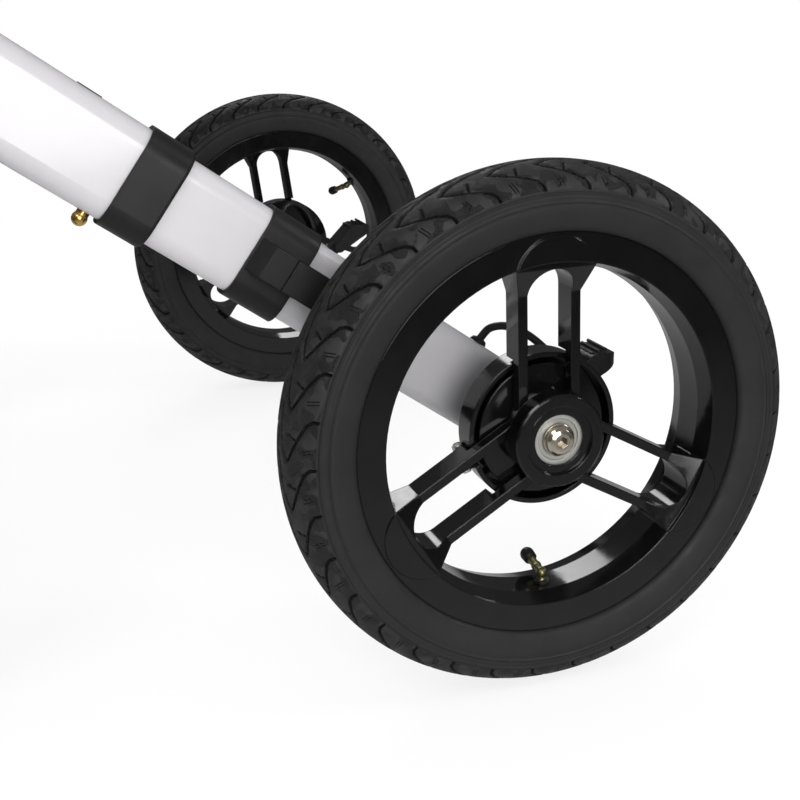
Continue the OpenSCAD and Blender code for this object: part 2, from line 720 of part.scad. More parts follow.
module leg_latch() {
    tongue_h = latch_h - 8;
    color(satin) on_leg() {
        difference() {
            translate([0, latch_h / 2 + 1, 0]) rotate([90, 0, 0]) linear_extrude(latch_h) polygon([
                [clamp_w / 2 + 0.3, latch_split], [clamp_w / 2 + latch_out, latch_split],
                [clamp_w / 2 + latch_out, latch_foot + 6], [clamp_w / 2 + latch_out - 3, latch_foot],
                [clamp_w / 2 + 0.3, latch_foot]]);
            // Bevelled corners of the free end
            for (m = [0, 1]) translate([0, 1, latch_foot]) mirror([0, m, 0])
                translate([0, latch_h / 2, 0]) rotate([45, 0, 0])
                    translate([0, -4, -4]) cube([clamp_w, 8, 8]);
        }
        translate([clamp_w / 2 + 2, 1 - tongue_h / 2, latch_split - 1]) cube([4.4, tongue_h, 9]);
    }
}
module leg_clamp_left() { leg_clamp(); }
module leg_clamp_right() { mirror([1, 0, 0]) leg_clamp(); }
module leg_latch_left() { leg_latch(); }
module leg_latch_right() { mirror([1, 0, 0]) leg_latch(); }

// Brass spring button in the underside of the upper leg, drawn out clear of the middle leg's hole
module snap_button() {
    tip = middle_h / 2 + slide_gap + pin_fit;
    color("goldenrod") on_leg() translate([0, 0, snap_at]) rotate([90, 0, 0]) {
        translate([0, 0, tip]) cylinder(h = upper_h / 2 + 4.5 - tip, d = hole_d - 0.8);
        translate([0, 0, upper_h / 2 + 4.5]) sphere(d = hole_d + 0.6);
    }
}
module snap_button_left() { snap_button(); }
module snap_button_right() { mirror([1, 0, 0]) snap_button(); }

// Upper legs, each with the forged knuckle that turns on the fold pivot
knuckle_r = 20;
knuckle_len = 34;
module upper_legs() {
    color(tube_white) both() difference() {
        union() {
            on_leg() translate([0, 0, upper_end])
                oval_tube(upper_w, upper_h, oval_r, tube_wall, leg_len - upper_end - knuckle_len);
            knuckle();
            link_stub();
        }
        on_leg() hole_below(snap_at, hole_d);
        slab(leg_x - upper_w, 2 * upper_w) translate(fold_pivot) circle(d = pivot_d + 2 * pin_fit);
    }
}

// Headed stud on the leg's inner face that the seat link hangs on
module link_stub() {
    face = leg_x - upper_w / 2 + 1;
    slab(link_x - 1, face - link_x + 1) translate(link_pivot) circle(d = stub_d);
    slab(link_x - 3, 2.2) translate(link_pivot) circle(d = eye_d + 5);
}

module knuckle() {
    foot = fold_pivot - (knuckle_len + 2) * leg_dir;
    slab(leg_x - upper_w / 2, upper_w) difference() {
        tapered_bar(fold_pivot, knuckle_r, foot, upper_h / 2 - 3);
        translate(foot) rotate(180 - leg_rise) translate([-60, -40]) square([60, 80]);
    }
    on_leg() translate([0, 0, leg_len - knuckle_len - 20]) linear_extrude(21)
        flat_oval(upper_w - 1, upper_h - 1, oval_r - 0.5);
}

module leg_collars() {
    collar_w = upper_w + 2 * moulding_wall;
    collar_h = upper_h + 2 * moulding_wall;
    color(satin) both() on_leg() difference() {
        union() {
            translate([0, 0, upper_end - moulding_wall]) linear_extrude(collar_len)
                flat_oval(collar_w, collar_h, oval_r + moulding_wall);
            translate([0, 0, upper_end - moulding_wall - 1.2]) linear_extrude(1.3)
                flat_oval(collar_w - 2.4, collar_h - 2.4, oval_r + moulding_wall - 1.2);
        }
        translate([0, 0, upper_end]) linear_extrude(collar_len)
            flat_oval(upper_w + 2 * slide_gap, upper_h + 2 * slide_gap, oval_r + slide_gap);
        translate([0, 0, upper_end - 9]) linear_extrude(collar_len)
            flat_oval(middle_w + 2 * slide_gap, middle_h + 2 * slide_gap, middle_r + slide_gap);
    }
}

// Cross tube between the upper legs
cross_at = 72;
module leg_cross_tube() {
    at = fold_pivot - cross_at * leg_dir;
    half = leg_x - upper_w / 2;
    color(tube_white) slab(-half, 2 * half) difference() {
        translate(at) circle(d = cross_d);
        translate(at) circle(d = cross_d - 3);
    }
}

// Main frame
module side_tubes() {
    color(tube_white) both() difference() {
        on_side_tube() oval_tube(upper_w, upper_h, oval_r, tube_wall, side_len);
        slab(0, 2 * leg_x) translate(seat_pivot) circle(d = seat_axle_d + 2 * pin_fit);
        at_backrest() rotate([0, 90, 0]) cylinder(h = upper_w, d = 5, center = true);
    }
}

// Cast bracket: side tube socket, castor sleeve, and two cheeks round the leg's knuckle
socket_len = 56;
cheek_gap = 0.3;
cheek_t = 5;
module head_brackets() {
    color(satin) both() head_bracket();
}

module head_bracket() {
    socket_w = upper_w + 2 * rim_wall;
    socket_h = upper_h + 2 * rim_wall;
    half = upper_w / 2 + cheek_gap;
    foot = side_foot + 6 * side_dir;
    nose = [castor_y, sleeve_z + sleeve_h / 2];
    difference() {
        union() {
            on_side_tube() translate([0, 0, -6]) linear_extrude(socket_len)
                flat_oval(socket_w, socket_h, oval_r + rim_wall);
            translate([leg_x, castor_y, sleeve_z]) cylinder(h = sleeve_h, d = sleeve_d);
            // Web from the sleeve up to the socket
            slab(leg_x - 9, 18) {
                tapered_bar(nose, sleeve_h / 2 - 1, foot - 6 * side_down, upper_h / 2 - 3);
                tapered_bar(nose + [4, -12], sleeve_h / 2 - 16, fold_pivot - 30 * side_down, 12);
            }
            // Cheeks
            for (x = [-half - cheek_t, half]) slab(leg_x + x, cheek_t)
                tapered_bar(fold_pivot, pivot_d / 2 + 12, foot - 4 * side_down + 8 * side_dir, 25);
        }
        on_side_tube() linear_extrude(side_len)
            flat_oval(upper_w + 2 * slide_gap, upper_h + 2 * slide_gap, oval_r + slide_gap);
        // Room for the knuckle and the folding leg
        slab(leg_x - half, 2 * half) {
            translate(fold_pivot) circle(r = knuckle_r + 0.8);
            intersection() {
                tapered_bar(fold_pivot, knuckle_r + 0.8, fold_pivot + [200, 0], 200);
                translate(side_foot + (upper_h / 2 + rim_wall + 0.01) * side_down - 300 * side_dir)
                    rotate(side_rise - 90) square([300, 900]);
            }
        }
        slab(leg_x - 50, 100) translate(fold_pivot) circle(d = pivot_d + 2 * pin_fit);
        // Bearing seats and stem bore
        translate([leg_x, castor_y, sleeve_z - 1]) cylinder(h = sleeve_h + 2, d = stem_d + 6);
        for (z = [-1, sleeve_h - 10]) translate([leg_x, castor_y, sleeve_z + z])
            cylinder(h = 11, d = stem_d + 16);
    }
    // Two castor bearings in the sleeve
    for (z = [0.2, sleeve_h - 10]) translate([leg_x, castor_y, sleeve_z + z]) difference() {
        cylinder(h = 9.6, d = stem_d + 16);
        translate([0, 0, -1]) cylinder(h = 20, d = stem_d + 2 * pin_fit);
    }
    // Dust cap on top of the sleeve
    translate([leg_x, castor_y, sleeve_z + sleeve_h]) rotate_extrude() polygon([
        [0, 0], [sleeve_d / 2 - 1, 0], [sleeve_d / 2 - 1, 2], [sleeve_d / 2 - 5, 5], [0, 6]]);
}

module front_cross_tube() {
    at = [castor_y + 6, sleeve_z + sleeve_h / 2];
    half = leg_x - sleeve_d / 2 + 0.5;
    color(tube_white) difference() {
        slab(-half, 2 * half) difference() {
            translate(at) circle(d = cross_d);
            translate(at) circle(d = cross_d - 3);
        }
        both() translate([leg_x, castor_y, sleeve_z - 1]) cylinder(h = sleeve_h + 2, d = sleeve_d);
        both() slab(leg_x - 9, 20) tapered_bar([castor_y, sleeve_z + sleeve_h / 2], sleeve_h / 2 - 1,
            side_foot + 6 * side_dir - 6 * side_down, upper_h / 2 - 3);
    }
}

// Fold pivot bolts, and the tube through both side tubes that the seat frame turns on
module pivot_pins() {
    color(nickel) both() fold_bolt();
    color(nickel) seat_axle();
}

module fold_bolt() {
    half = upper_w / 2 + cheek_gap + cheek_t;
    translate([leg_x, fold_pivot.x, fold_pivot.y]) rotate([0, 90, 0]) {
        translate([0, 0, -half - 2]) cylinder(h = 2 * half + 4, d = pivot_d);
        difference() {
            translate([0, 0, half]) rotate_extrude() polygon([[0, 0], [pivot_d * 0.9, 0],
                [pivot_d * 0.9, 1], [pivot_d * 0.8, 3.5], [pivot_d * 0.5, 5], [0, 5]]);
            translate([0, 0, half + 2]) cylinder(h = 6, d = pivot_d * 0.65, $fn = 6);
        }
        translate([0, 0, -half - 7]) cylinder(h = 7, d = pivot_d * 1.8, $fn = 6);
    }
}

module seat_axle() {
    half = leg_x + upper_w / 2;
    slab(-half, 2 * half) difference() {
        translate(seat_pivot) circle(d = seat_axle_d);
        translate(seat_pivot) circle(d = seat_axle_d - 4);
    }
    both() translate([half, seat_pivot.x, seat_pivot.y]) rotate([0, 90, 0]) rotate_extrude()
        polygon([[0, 0], [seat_axle_d / 2 + 3, 0], [seat_axle_d / 2 + 3, 1.5],
            [seat_axle_d / 2 - 1, 4], [0, 4.5]]);
}

// Bush and collar that guide the handle post at the top of each side tube
module post_collars() {
    collar_w = upper_w + 2 * moulding_wall;
    collar_h = upper_h + 2 * moulding_wall;
    color(satin) both() on_side_tube() difference() {
        union() {
            translate([0, 0, side_len - 26]) linear_extrude(30)
                flat_oval(collar_w, collar_h, oval_r + moulding_wall);
            translate([0, 0, side_len + 4]) linear_extrude(3)
                flat_oval(collar_w - 6, collar_h - 6, oval_r);
            // Boss of the height screw
            translate([0, collar_h / 2 - 4, side_len - 11]) rotate([-90, 0, 0]) cylinder(h = 8, d = 18);
        }
        difference() {
            translate([0, 0, side_len - 30]) linear_extrude(30)
                flat_oval(upper_w, upper_h, oval_r);
            translate([0, 0, side_len - 40]) linear_extrude(40)
                flat_oval(upper_w - 2 * tube_wall, upper_h - 2 * tube_wall, oval_r - tube_wall);
        }
        translate([0, 0, side_len - 60]) linear_extrude(80)
            flat_oval(post_w + 2 * slide_gap, post_h + 2 * slide_gap, post_w / 2 - 0.5 + slide_gap);
    }
}

// Backrest: a padded strap bowed forward between the side tubes
backrest_at = side_len - 68;
backrest_point = side_foot + backrest_at * side_dir;
module at_backrest() {
    translate([leg_x, backrest_point.x, backrest_point.y]) children();
}

module backrest() {
    half = leg_x - upper_w / 2 - 0.3;
    r = (half * half + backrest_bow * backrest_bow) / (2 * backrest_bow);
    y_end = backrest_point.x;
    color("dimgray") translate([0, 0, backrest_point.y - backrest_h / 2]) {
        intersection() {
            translate([0, y_end - backrest_bow + r, 0]) difference() {
                cylinder(h = backrest_h, r = r + backrest_t / 2, $fn = 128);
                translate([0, 0, -1]) cylinder(h = backrest_h + 2, r = r - backrest_t / 2, $fn = 128);
            }
            translate([-half, y_end - 2 * backrest_bow, 0])
                cube([2 * half, 2 * backrest_bow + 3, backrest_h]);
        }
        both() translate([half - 4, y_end - 12, backrest_h / 2 - 17]) cube([4, 24, 34]);
    }
}

// Castor fork: stem, crown and two blades round the front wheel
blade_in = tyre_w / 2 + 5;
blade_t = 7;
module fork() {
    crown_z = sleeve_z - seat_fit;
    crown = [castor_y + 4, crown_z - 11.5];
    axle = [front_y, axle_z];
    color(satin) difference() {
        union() {
            translate([leg_x, castor_y, crown_z - 6]) cylinder(h = sleeve_h + 4, d = stem_d);
            translate([leg_x, castor_y, crown_z - 8]) cylinder(h = 8, d = sleeve_d);
            for (x = [-blade_in - blade_t, blade_in]) slab(leg_x + x, blade_t)
                tapered_bar(crown, 11, axle, 17);
            slab(leg_x - blade_in - blade_t, 2 * (blade_in + blade_t)) difference() {
                tapered_bar(crown, 11, axle, 17);
                translate(axle) circle(r = crown_r + 5, $fn = 96);
            }
        }
        slab(leg_x - 60, 120) translate(axle) circle(d = axle_d + 2 * pin_fit);
        // Outer corners of the crown
        for (m = [0, 1]) translate([leg_x, 0, 0]) mirror([m, 0, 0])
            translate([blade_in + blade_t - 8, castor_y - 40, crown_z - 8]) difference() {
                cube([20, 80, 20]);
                translate([0, -1, 0]) rotate([-90, 0, 0]) cylinder(h = 90, r = 8);
            }
    }
}
module fork_left() { fork(); }
module fork_right() { mirror([1, 0, 0]) fork(); }

module tyre_front_left() { color(rubber) at_front_wheel() tyre(); }
module tyre_front_right() { color(rubber) mirror([1, 0, 0]) at_front_wheel() tyre(); }
module inner_tube_front_left() {
    color(rubber) at_front_wheel() inner_tube(valve_turn_left, valve_end);
}
module inner_tube_front_right() {
    color(rubber) mirror([1, 0, 0]) at_front_wheel() inner_tube(valve_turn_right, valve_end_far);
}

// The front wheels' bearings are pressed into the hub
module front_wheel(turn, valve) {
    rim(turn, valve, false);
    for (m = [0, 1]) mirror([0, 0, m]) translate([0, 0, bearing_top - bearing_w]) bearing(false);
}
module rim_front_left() {
    color(glossy) at_front_wheel() front_wheel(spoke_turn_left, valve_turn_left);
}
module rim_front_right() {
    color(glossy) mirror([1, 0, 0]) at_front_wheel() front_wheel(spoke_turn_right, valve_turn_right);
}

// Front axle bolt with its head, washer, spacers and nut
module front_axle() {
    out = blade_in + blade_t;
    color(nickel) at_front_wheel() {
        translate([0, 0, -out - 9]) cylinder(h = 2 * out + 9, d = axle_d);
        difference() {
            translate([0, 0, out]) rotate_extrude() polygon([[0, 0], [9.4, 0],
                [9.4, 1.2], [8.8, 1.6], [8.4, 3.4], [7, 5], [5, 5.8], [0, 5.8]]);
            translate([0, 0, out + 2]) cylinder(h = 6, d = 7, $fn = 6);
        }
        translate([0, 0, -out - 8]) cylinder(h = 8, d = 18.5, $fn = 6);
        for (m = [0, 1]) mirror([0, 0, m]) translate([0, 0, bearing_top + 0.15])
            cylinder(h = blade_in - bearing_top - 0.3, d = axle_d + 4);
    }
}
module axle_front_left() { front_axle(); }
module axle_front_right() { mirror([1, 0, 0]) front_axle(); }

// Seat frame: two rails with a sleeve at each end and a bar near the back
sleeve_out = seat_axle_d + 6;
sleeve_len = 22;
module seat_frame() {
    color(tube_white) {
        both() difference() {
            union() {
                translate([rail_x, seat_pivot.x, seat_pivot.y]) rotate([-90, 0, 0])
                    cylinder(h = seat_depth, d = rail_d);
                for (p = [seat_pivot, seat_rear]) slab(rail_x - sleeve_len / 2, sleeve_len)
                    translate(p) circle(d = sleeve_out);
            }
            for (p = [seat_pivot, seat_rear]) slab(rail_x - sleeve_len, 2 * sleeve_len)
                translate(p) circle(d = seat_axle_d + 2 * pin_fit);
        }
        slab(-rail_x, 2 * rail_x) translate(seat_rear - [22, 0]) circle(d = 14);
    }
}

// Fabric slung between the rails
module seat_sling() {
    span = rail_x - rail_d / 2 - 2;
    r = (span * span + seat_sag * seat_sag) / (2 * seat_sag);
    front = seat_pivot.x + 16;
    depth = seat_depth - 56;
    top = rail_d / 2 + seat_fit;
    color("dimgray") translate([0, front + depth, seat_pivot.y]) rotate([90, 0, 0])
        linear_extrude(depth, $fn = 128) {
            intersection() {
                translate([0, r - seat_sag + 4]) difference() {
                    circle(r = r + seat_t / 2);
                    circle(r = r - seat_t / 2);
                }
                translate([-span, -seat_sag - 10]) square([2 * span, seat_sag + 30]);
            }
            for (m = [0, 1]) mirror([m, 0]) translate([rail_x, 0]) difference() {
                circle(r = top + seat_t);
                circle(r = top);
            }
        }
}

// Two flat links and the tube that joins them, from the seat's back down to the legs
module seat_links() {
    color("silver") {
        slab(-link_x, 2 * link_x) translate(seat_rear) circle(d = seat_axle_d);
        both() slab(link_x - 0.01, link_t) difference() {
            tapered_bar(seat_rear, 12, link_pivot, 13);
            translate(link_pivot) circle(d = eye_d);
        }
    }
}

// Handles
module post_tube() {
    linear_extrude(post_len) difference() {
        flat_oval(post_w, post_h, post_w / 2 - 0.5);
        flat_oval(post_w - 2 * tube_wall, post_h - 2 * tube_wall, post_w / 2 - 0.5 - tube_wall);
    }
}

module handle_post() {
    color(tube_white) on_side_tube() difference() {
        translate([0, 0, side_len + post_out - post_len]) post_tube();
        for (k = [0:4]) translate([0, 0, side_len - 11 - 25 * k]) rotate([-90, 0, 0])
            cylinder(h = post_h, d = 7);
    }
}
module handle_post_left() { handle_post(); }
module handle_post_right() { mirror([1, 0, 0]) handle_post(); }

// Head on the post, with the bar that the grip slides on and the lever's fork
bar_rise = 8;
bar_dir = [cos(bar_rise), sin(bar_rise)];
bar_up = [-sin(bar_rise), cos(bar_rise)];
bar_root = post_top + 6 * bar_dir + [0, 2];
socket_h = 38;
head_w = 26;
ear_w = 5;
lever_w = 11;
lever_pin = 5;
lever_len = 128;
lever_at = bar_root + (lever_pin + 10) * bar_dir - (lever_pin + 26) * bar_up;
module handle_head() {
    color(satin) difference() {
        union() {
            on_side_tube() translate([0, 0, side_len + post_out - socket_h]) linear_extrude(socket_h + 6)
                flat_oval(post_w + 6, post_h + 6, post_w / 2 + 2);
            slab(leg_x - head_w / 2, head_w)
                tapered_bar(post_top + [-4, 0], 22, bar_root + 8 * bar_dir, 15);
            translate([leg_x, bar_root.x, bar_root.y]) rotate([bar_rise - 90, 0, 0])
                cylinder(h = grip_len + 22, d = bar_d);
            // Ears of the brake lever
            for (x = [-ear_w - 0.5, 0.5]) slab(leg_x + x + sign(x) * lever_w / 2, ear_w)
                tapered_bar(bar_root - 8 * bar_up, 10, lever_at, lever_pin + 3);
        }
        on_side_tube() translate([0, 0, side_len + post_out - post_len]) linear_extrude(post_len)
            flat_oval(post_w, post_h, post_w / 2 - 0.5);
        slab(leg_x - head_w, 2 * head_w) translate(lever_at) circle(d = lever_pin + 2 * pin_fit);
    }
}
module handle_head_left() { handle_head(); }
module handle_head_right() { mirror([1, 0, 0]) handle_head(); }

// Rubber grip, waisted, with a flange at each end
module grip() {
    n = 24;
    bore = bar_d / 2 + 0.02;
    waist = function (t) grip_d / 2 + 1.6 * sin(360 * t - 60) - 0.8 * cos(720 * t);
    outline = [for (k = [0:n]) [waist(k / n), 4 + (grip_len - 8) * k / n]];
    color([0.13, 0.13, 0.13]) translate([leg_x, bar_root.x, bar_root.y])
        rotate([bar_rise - 90, 0, 0]) translate([0, 0, 24]) rotate_extrude() polygon(concat(
            [[bore, 0], [grip_d / 2 + 1, 0], [grip_d / 2 + 2, 2]], outline,
            [[grip_d / 2 + 1, grip_len - 2], [grip_d / 2 - 3, grip_len], [0, grip_len],
                [0, grip_len - 1.8], [bore, grip_len - 1.8]]));
}
module grip_left() { grip(); }
module grip_right() { mirror([1, 0, 0]) grip(); }

// Brake lever with its pin, curved under the grip
module brake_lever() {
    a = lever_at + 0.266 * lever_len * bar_dir - 9 * bar_up;
    b = lever_at + 0.656 * lever_len * bar_dir - 19 * bar_up;
    c = lever_at + lever_len * bar_dir - 23 * bar_up;
    color(glossy) {
        slab(leg_x - lever_w / 2, lever_w) {
            tapered_bar(lever_at, lever_pin + 3, a, 6);
            tapered_bar(a, 6, b, 5);
            tapered_bar(b, 5, c, 7);
        }
        slab(leg_x - head_w / 2 + 1, head_w - 2) translate(lever_at) circle(d = lever_pin);
    }
}
module brake_lever_left() { brake_lever(); }
module brake_lever_right() { mirror([1, 0, 0]) brake_lever(); }

tyre_rear_left();
tyre_rear_right();
inner_tube_rear_left();
inner_tube_rear_right();
rim_rear_left();
rim_rear_right();
bearings_rear_left();
bearings_rear_right();
axle_rear_left();
axle_rear_right();
brake_housing_left();
brake_housing_right();
brake_shoes_left();
brake_shoes_right();
brake_arm_left();
brake_arm_right();
brake_cable_left();
brake_cable_right();
lower_leg_left();
lower_leg_right();
leg_end_left();
leg_end_right();
middle_leg_left();
middle_leg_right();
leg_clamp_left();
leg_clamp_right();
leg_latch_left();
leg_latch_right();
snap_button_left();
snap_button_right();
upper_legs();
leg_collars();
leg_cross_tube();
side_tubes();
head_brackets();
front_cross_tube();
pivot_pins();
post_collars();
backrest();
fork_left();
fork_right();
tyre_front_left();
tyre_front_right();
inner_tube_front_left();
inner_tube_front_right();
rim_front_left();
rim_front_right();
axle_front_left();
axle_front_right();
seat_frame();
seat_links();
seat_sling();
handle_post_left();
handle_post_right();
handle_head_left();
handle_head_right();
grip_left();
grip_right();
brake_lever_left();
brake_lever_right();
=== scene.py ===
"""All terrain rollator: finishes, tyres, seat, backrest, grips and small pieces on the frame."""

import json
import math

import bmesh
import bpy
import numpy as np
from bpy.props import FloatProperty, FloatVectorProperty, IntProperty, PointerProperty
from mathutils import Matrix, Vector


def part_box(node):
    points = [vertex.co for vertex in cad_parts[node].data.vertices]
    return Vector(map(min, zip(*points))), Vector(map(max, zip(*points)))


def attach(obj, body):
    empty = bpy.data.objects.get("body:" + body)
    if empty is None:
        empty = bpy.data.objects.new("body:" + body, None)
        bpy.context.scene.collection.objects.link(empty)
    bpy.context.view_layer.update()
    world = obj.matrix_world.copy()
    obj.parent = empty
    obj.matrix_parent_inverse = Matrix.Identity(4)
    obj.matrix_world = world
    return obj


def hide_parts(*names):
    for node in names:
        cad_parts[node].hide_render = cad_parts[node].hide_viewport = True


bl_info = {
    "name": "All Terrain Rollator",
    "version": (1, 0, 0),
    "blender": (4, 5, 0),
    "location": "3D View > Sidebar > Rollator",
    "description": "Builds the looks of an all terrain rollator round its packed frame",
    "category": "Object",
}

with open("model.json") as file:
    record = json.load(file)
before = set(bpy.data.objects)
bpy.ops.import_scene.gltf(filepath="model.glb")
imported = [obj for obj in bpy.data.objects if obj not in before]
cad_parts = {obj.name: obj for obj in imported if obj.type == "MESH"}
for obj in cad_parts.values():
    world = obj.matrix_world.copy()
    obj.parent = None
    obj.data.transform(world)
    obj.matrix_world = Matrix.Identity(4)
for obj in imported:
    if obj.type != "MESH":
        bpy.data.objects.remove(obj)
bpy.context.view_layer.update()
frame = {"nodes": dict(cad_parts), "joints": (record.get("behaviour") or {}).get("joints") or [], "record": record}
NODES = frame["nodes"]
JOINTS = {j["name"]: j for j in frame["joints"]}
SIDES = {"left": 1, "right": -1}
WHEELS = [(end, side) for end in ("rear", "front") for side in SIDES]


# Places taken from the frame, all in metres
def centre(node):
    lo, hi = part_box(node)
    return (Vector(lo) + Vector(hi)) / 2


def yz(degrees):
    """Unit vector in the YZ plane, as the part's source measures its angles."""
    return Vector((0, math.cos(math.radians(degrees)), math.sin(math.radians(degrees))))


REAR = centre("tyre_rear_left")
LEG_X = centre("tyre_front_left").x
LEG_RISE, LEG_DROP = 34.7, 0.0035
SIDE_RISE, BAR_RISE = 54, 8
FOLD_TO_TUBE = 0.051
UP_TO_BACKREST, UP_TO_HANDLE = 0.362, 0.542
LEG_DIR = -yz(-LEG_RISE)
LEG_UP = Vector((0, math.sin(math.radians(LEG_RISE)), math.cos(math.radians(LEG_RISE))))
SIDE_DIR, SIDE_DOWN = yz(SIDE_RISE), yz(SIDE_RISE - 90)
FOLD = Vector(JOINTS["leg_fold"]["pos_m"])
SIDE_FOOT = FOLD - FOLD_TO_TUBE * SIDE_DOWN
SEAT_FRONT = Vector(JOINTS["seat_fold"]["pos_m"])
BACK_AT = SIDE_FOOT + UP_TO_BACKREST * SIDE_DIR
BAR_DIR = yz(BAR_RISE)
BAR_ROOT = SIDE_FOOT + UP_TO_HANDLE * SIDE_DIR + 0.006 * BAR_DIR + Vector((0, 0, 0.002))


class Finish:
    """A material made of nodes round one Principled shader, on Object coordinates in metres."""

    def __init__(self, name, base, roughness, **sockets):
        self.material = bpy.data.materials.new(name)
        self.material.use_nodes = True
        self.tree = self.material.node_tree
        self.shader = self.tree.nodes["Principled BSDF"]
        self.place = self.tree.nodes.new("ShaderNodeTexCoord").outputs["Object"]
        self.base = tuple(base)
        self.shader.inputs["Base Color"].default_value = (*base, 1)
        self.shader.inputs["Roughness"].default_value = roughness
        for socket, value in sockets.items():
            self.shader.inputs[socket.replace("_", " ")].default_value = value
        self.normal = None

    def node(self, kind, values=None, **links):
        made = self.tree.nodes.new("ShaderNode" + kind)
        for key, value in (values or {}).items():
            setattr(made, key, value)
        for socket, value in links.items():
            self.put(made.inputs[int(socket[1:]) if socket[1:].isdigit() else socket], value)
        return made

    def put(self, socket, value):
        if isinstance(value, bpy.types.NodeSocket):
            self.tree.links.new(value, socket)
        else:
            socket.default_value = value

    def noise(self, per_metre, detail=3, stretch=(1, 1, 1)):
        place = self.node("Mapping", Vector=self.place, Scale=stretch).outputs["Vector"]
        return self.node("TexNoise", Vector=place, Scale=per_metre, Detail=detail).outputs["Fac"]

    def remap(self, value, low, high, start=0.3, end=0.7):
        made = self.node("MapRange", Value=value)
        sockets = ("From Min", "From Max", "To Min", "To Max")
        for socket, number in zip(sockets, (start, end, low, high)):
            made.inputs[socket].default_value = number
        return made.outputs["Result"]

    def maths(self, operation, a, b=0.0):
        return self.node("Math", {"operation": operation}, _0=a, _1=b).outputs["Value"]

    def vectors(self, operation, **links):
        """The outputs of one step of vector maths."""
        return self.node("VectorMath", {"operation": operation}, **links).outputs

    def tint(self, fac, shade):
        """Blends the base colour towards its multiple `shade` where fac is high."""
        mix = self.node("Mix", {"data_type": "RGBA"}, _0=fac)
        source = self.shader.inputs["Base Color"]
        if source.is_linked:
            self.put(mix.inputs[6], source.links[0].from_socket)
        else:
            mix.inputs[6].default_value = (*self.base, 1)
        colour = shade if hasattr(shade, "__len__") else [c * shade for c in self.base]
        mix.inputs[7].default_value = (*colour, 1)
        self.put(source, mix.outputs[2])
        return self

    def rough(self, fac, low, high):
        self.put(self.shader.inputs["Roughness"], self.remap(fac, low, high))
        return self

    def soft_edges(self, radius):
        self.normal = self.node("Bevel", {"samples": 4}, Radius=radius).outputs["Normal"]
        self.put(self.shader.inputs["Normal"], self.normal)
        return self

    def line_distance(self, point, segments):
        """Distance from a point of the cloth or tread to the nearest of some segments."""
        best = None
        for (x0, y0), (x1, y1) in segments:
            reach = Vector((x1 - x0, y1 - y0, 0))
            away = self.vectors("SUBTRACT", _0=point, _1=(x0, y0, 0))[0]
            share = self.vectors("DOT_PRODUCT", _0=away, _1=reach / reach.length_squared)["Value"]
            clamped = {"operation": "ADD", "use_clamp": True}
            share = self.node("Math", clamped, _0=share, _1=0.0).outputs[0]
            foot = self.vectors("SCALE", _0=reach, Scale=share)[0]
            gap = self.vectors("DISTANCE", _0=away, _1=foot)["Value"]
            best = gap if best is None else self.maths("MINIMUM", best, gap)
        return best

    def bump(self, height, depth, strength=1.0):
        made = self.node("Bump", Height=height, Strength=strength, Distance=depth)
        if self.normal:
            self.put(made.inputs["Normal"], self.normal)
        self.normal = made.outputs["Normal"]
        self.put(self.shader.inputs["Normal"], self.normal)
        return self


def white_paint(looks):
    f = Finish("white_silver_paint", looks.tube_colour, 0.36, Coat_Weight=0.6, Coat_Roughness=0.1)
    f.soft_edges(0.0006)
    flake = f.noise(2600, 1)
    f.tint(f.remap(flake, 0, 0.5, 0.5, 0.72), 0.86)
    f.tint(f.remap(f.noise(9, 2), 0, 0.35), 0.95)
    f.rough(f.noise(45, 4), 0.31, 0.42)
    return f.bump(f.noise(420, 2), 0.00002, 0.5)


def gloss_black(looks):
    f = Finish("gloss_black_paint", looks.rim_colour, 0.08, Specular_IOR_Level=0.5)
    f.soft_edges(0.0013)
    f.tint(f.remap(f.noise(60, 4), 0, 0.6), 1.9)
    f.rough(f.noise(130, 5), 0.07, 0.16)
    return f.bump(f.noise(330, 2), 0.00001, 0.4)


def satin_plastic(looks):
    f = Finish("satin_black_plastic", looks.plastic_colour, 0.42, Specular_IOR_Level=0.22)
    f.soft_edges(0.0013)
    grain = f.noise(1900, 2)
    f.tint(f.remap(f.noise(35, 4), 0, 0.7), 1.35)
    f.rough(f.noise(70, 4), 0.34, 0.5)
    return f.bump(grain, 0.00006, 0.7)


def black_casting(looks):
    f = Finish("black_powder_coat", looks.plastic_colour, 0.38, Coat_Weight=0.2,
               Coat_Roughness=0.25)
    f.soft_edges(0.0015)
    f.tint(f.remap(f.noise(22, 3), 0, 0.6), 1.4)
    f.rough(f.noise(240, 3), 0.3, 0.46)
    return f.bump(f.noise(900, 3), 0.00008, 0.8)


def metal(name, colour, low, high, turned=(1, 1, 1), edge=0.0005):
    f = Finish(name, colour, low, Metallic=0.97)
    f.soft_edges(edge)
    # Painted shade: the base colour darkens in hollows and sockets, following an ambient occlusion mask
    painted_cavity_shade = f.node("AmbientOcclusion", {"samples": 6}, Distance=0.004).outputs["AO"]
    f.tint(f.remap(painted_cavity_shade, 1, 0, 0.35, 0.9), 0.06)
    f.tint(f.remap(f.noise(90, 4), 0, 0.7), 0.72)
    f.rough(f.noise(700, 3, turned), low, high)
    return f.bump(f.noise(900, 3, turned), 0.000006, 0.5)


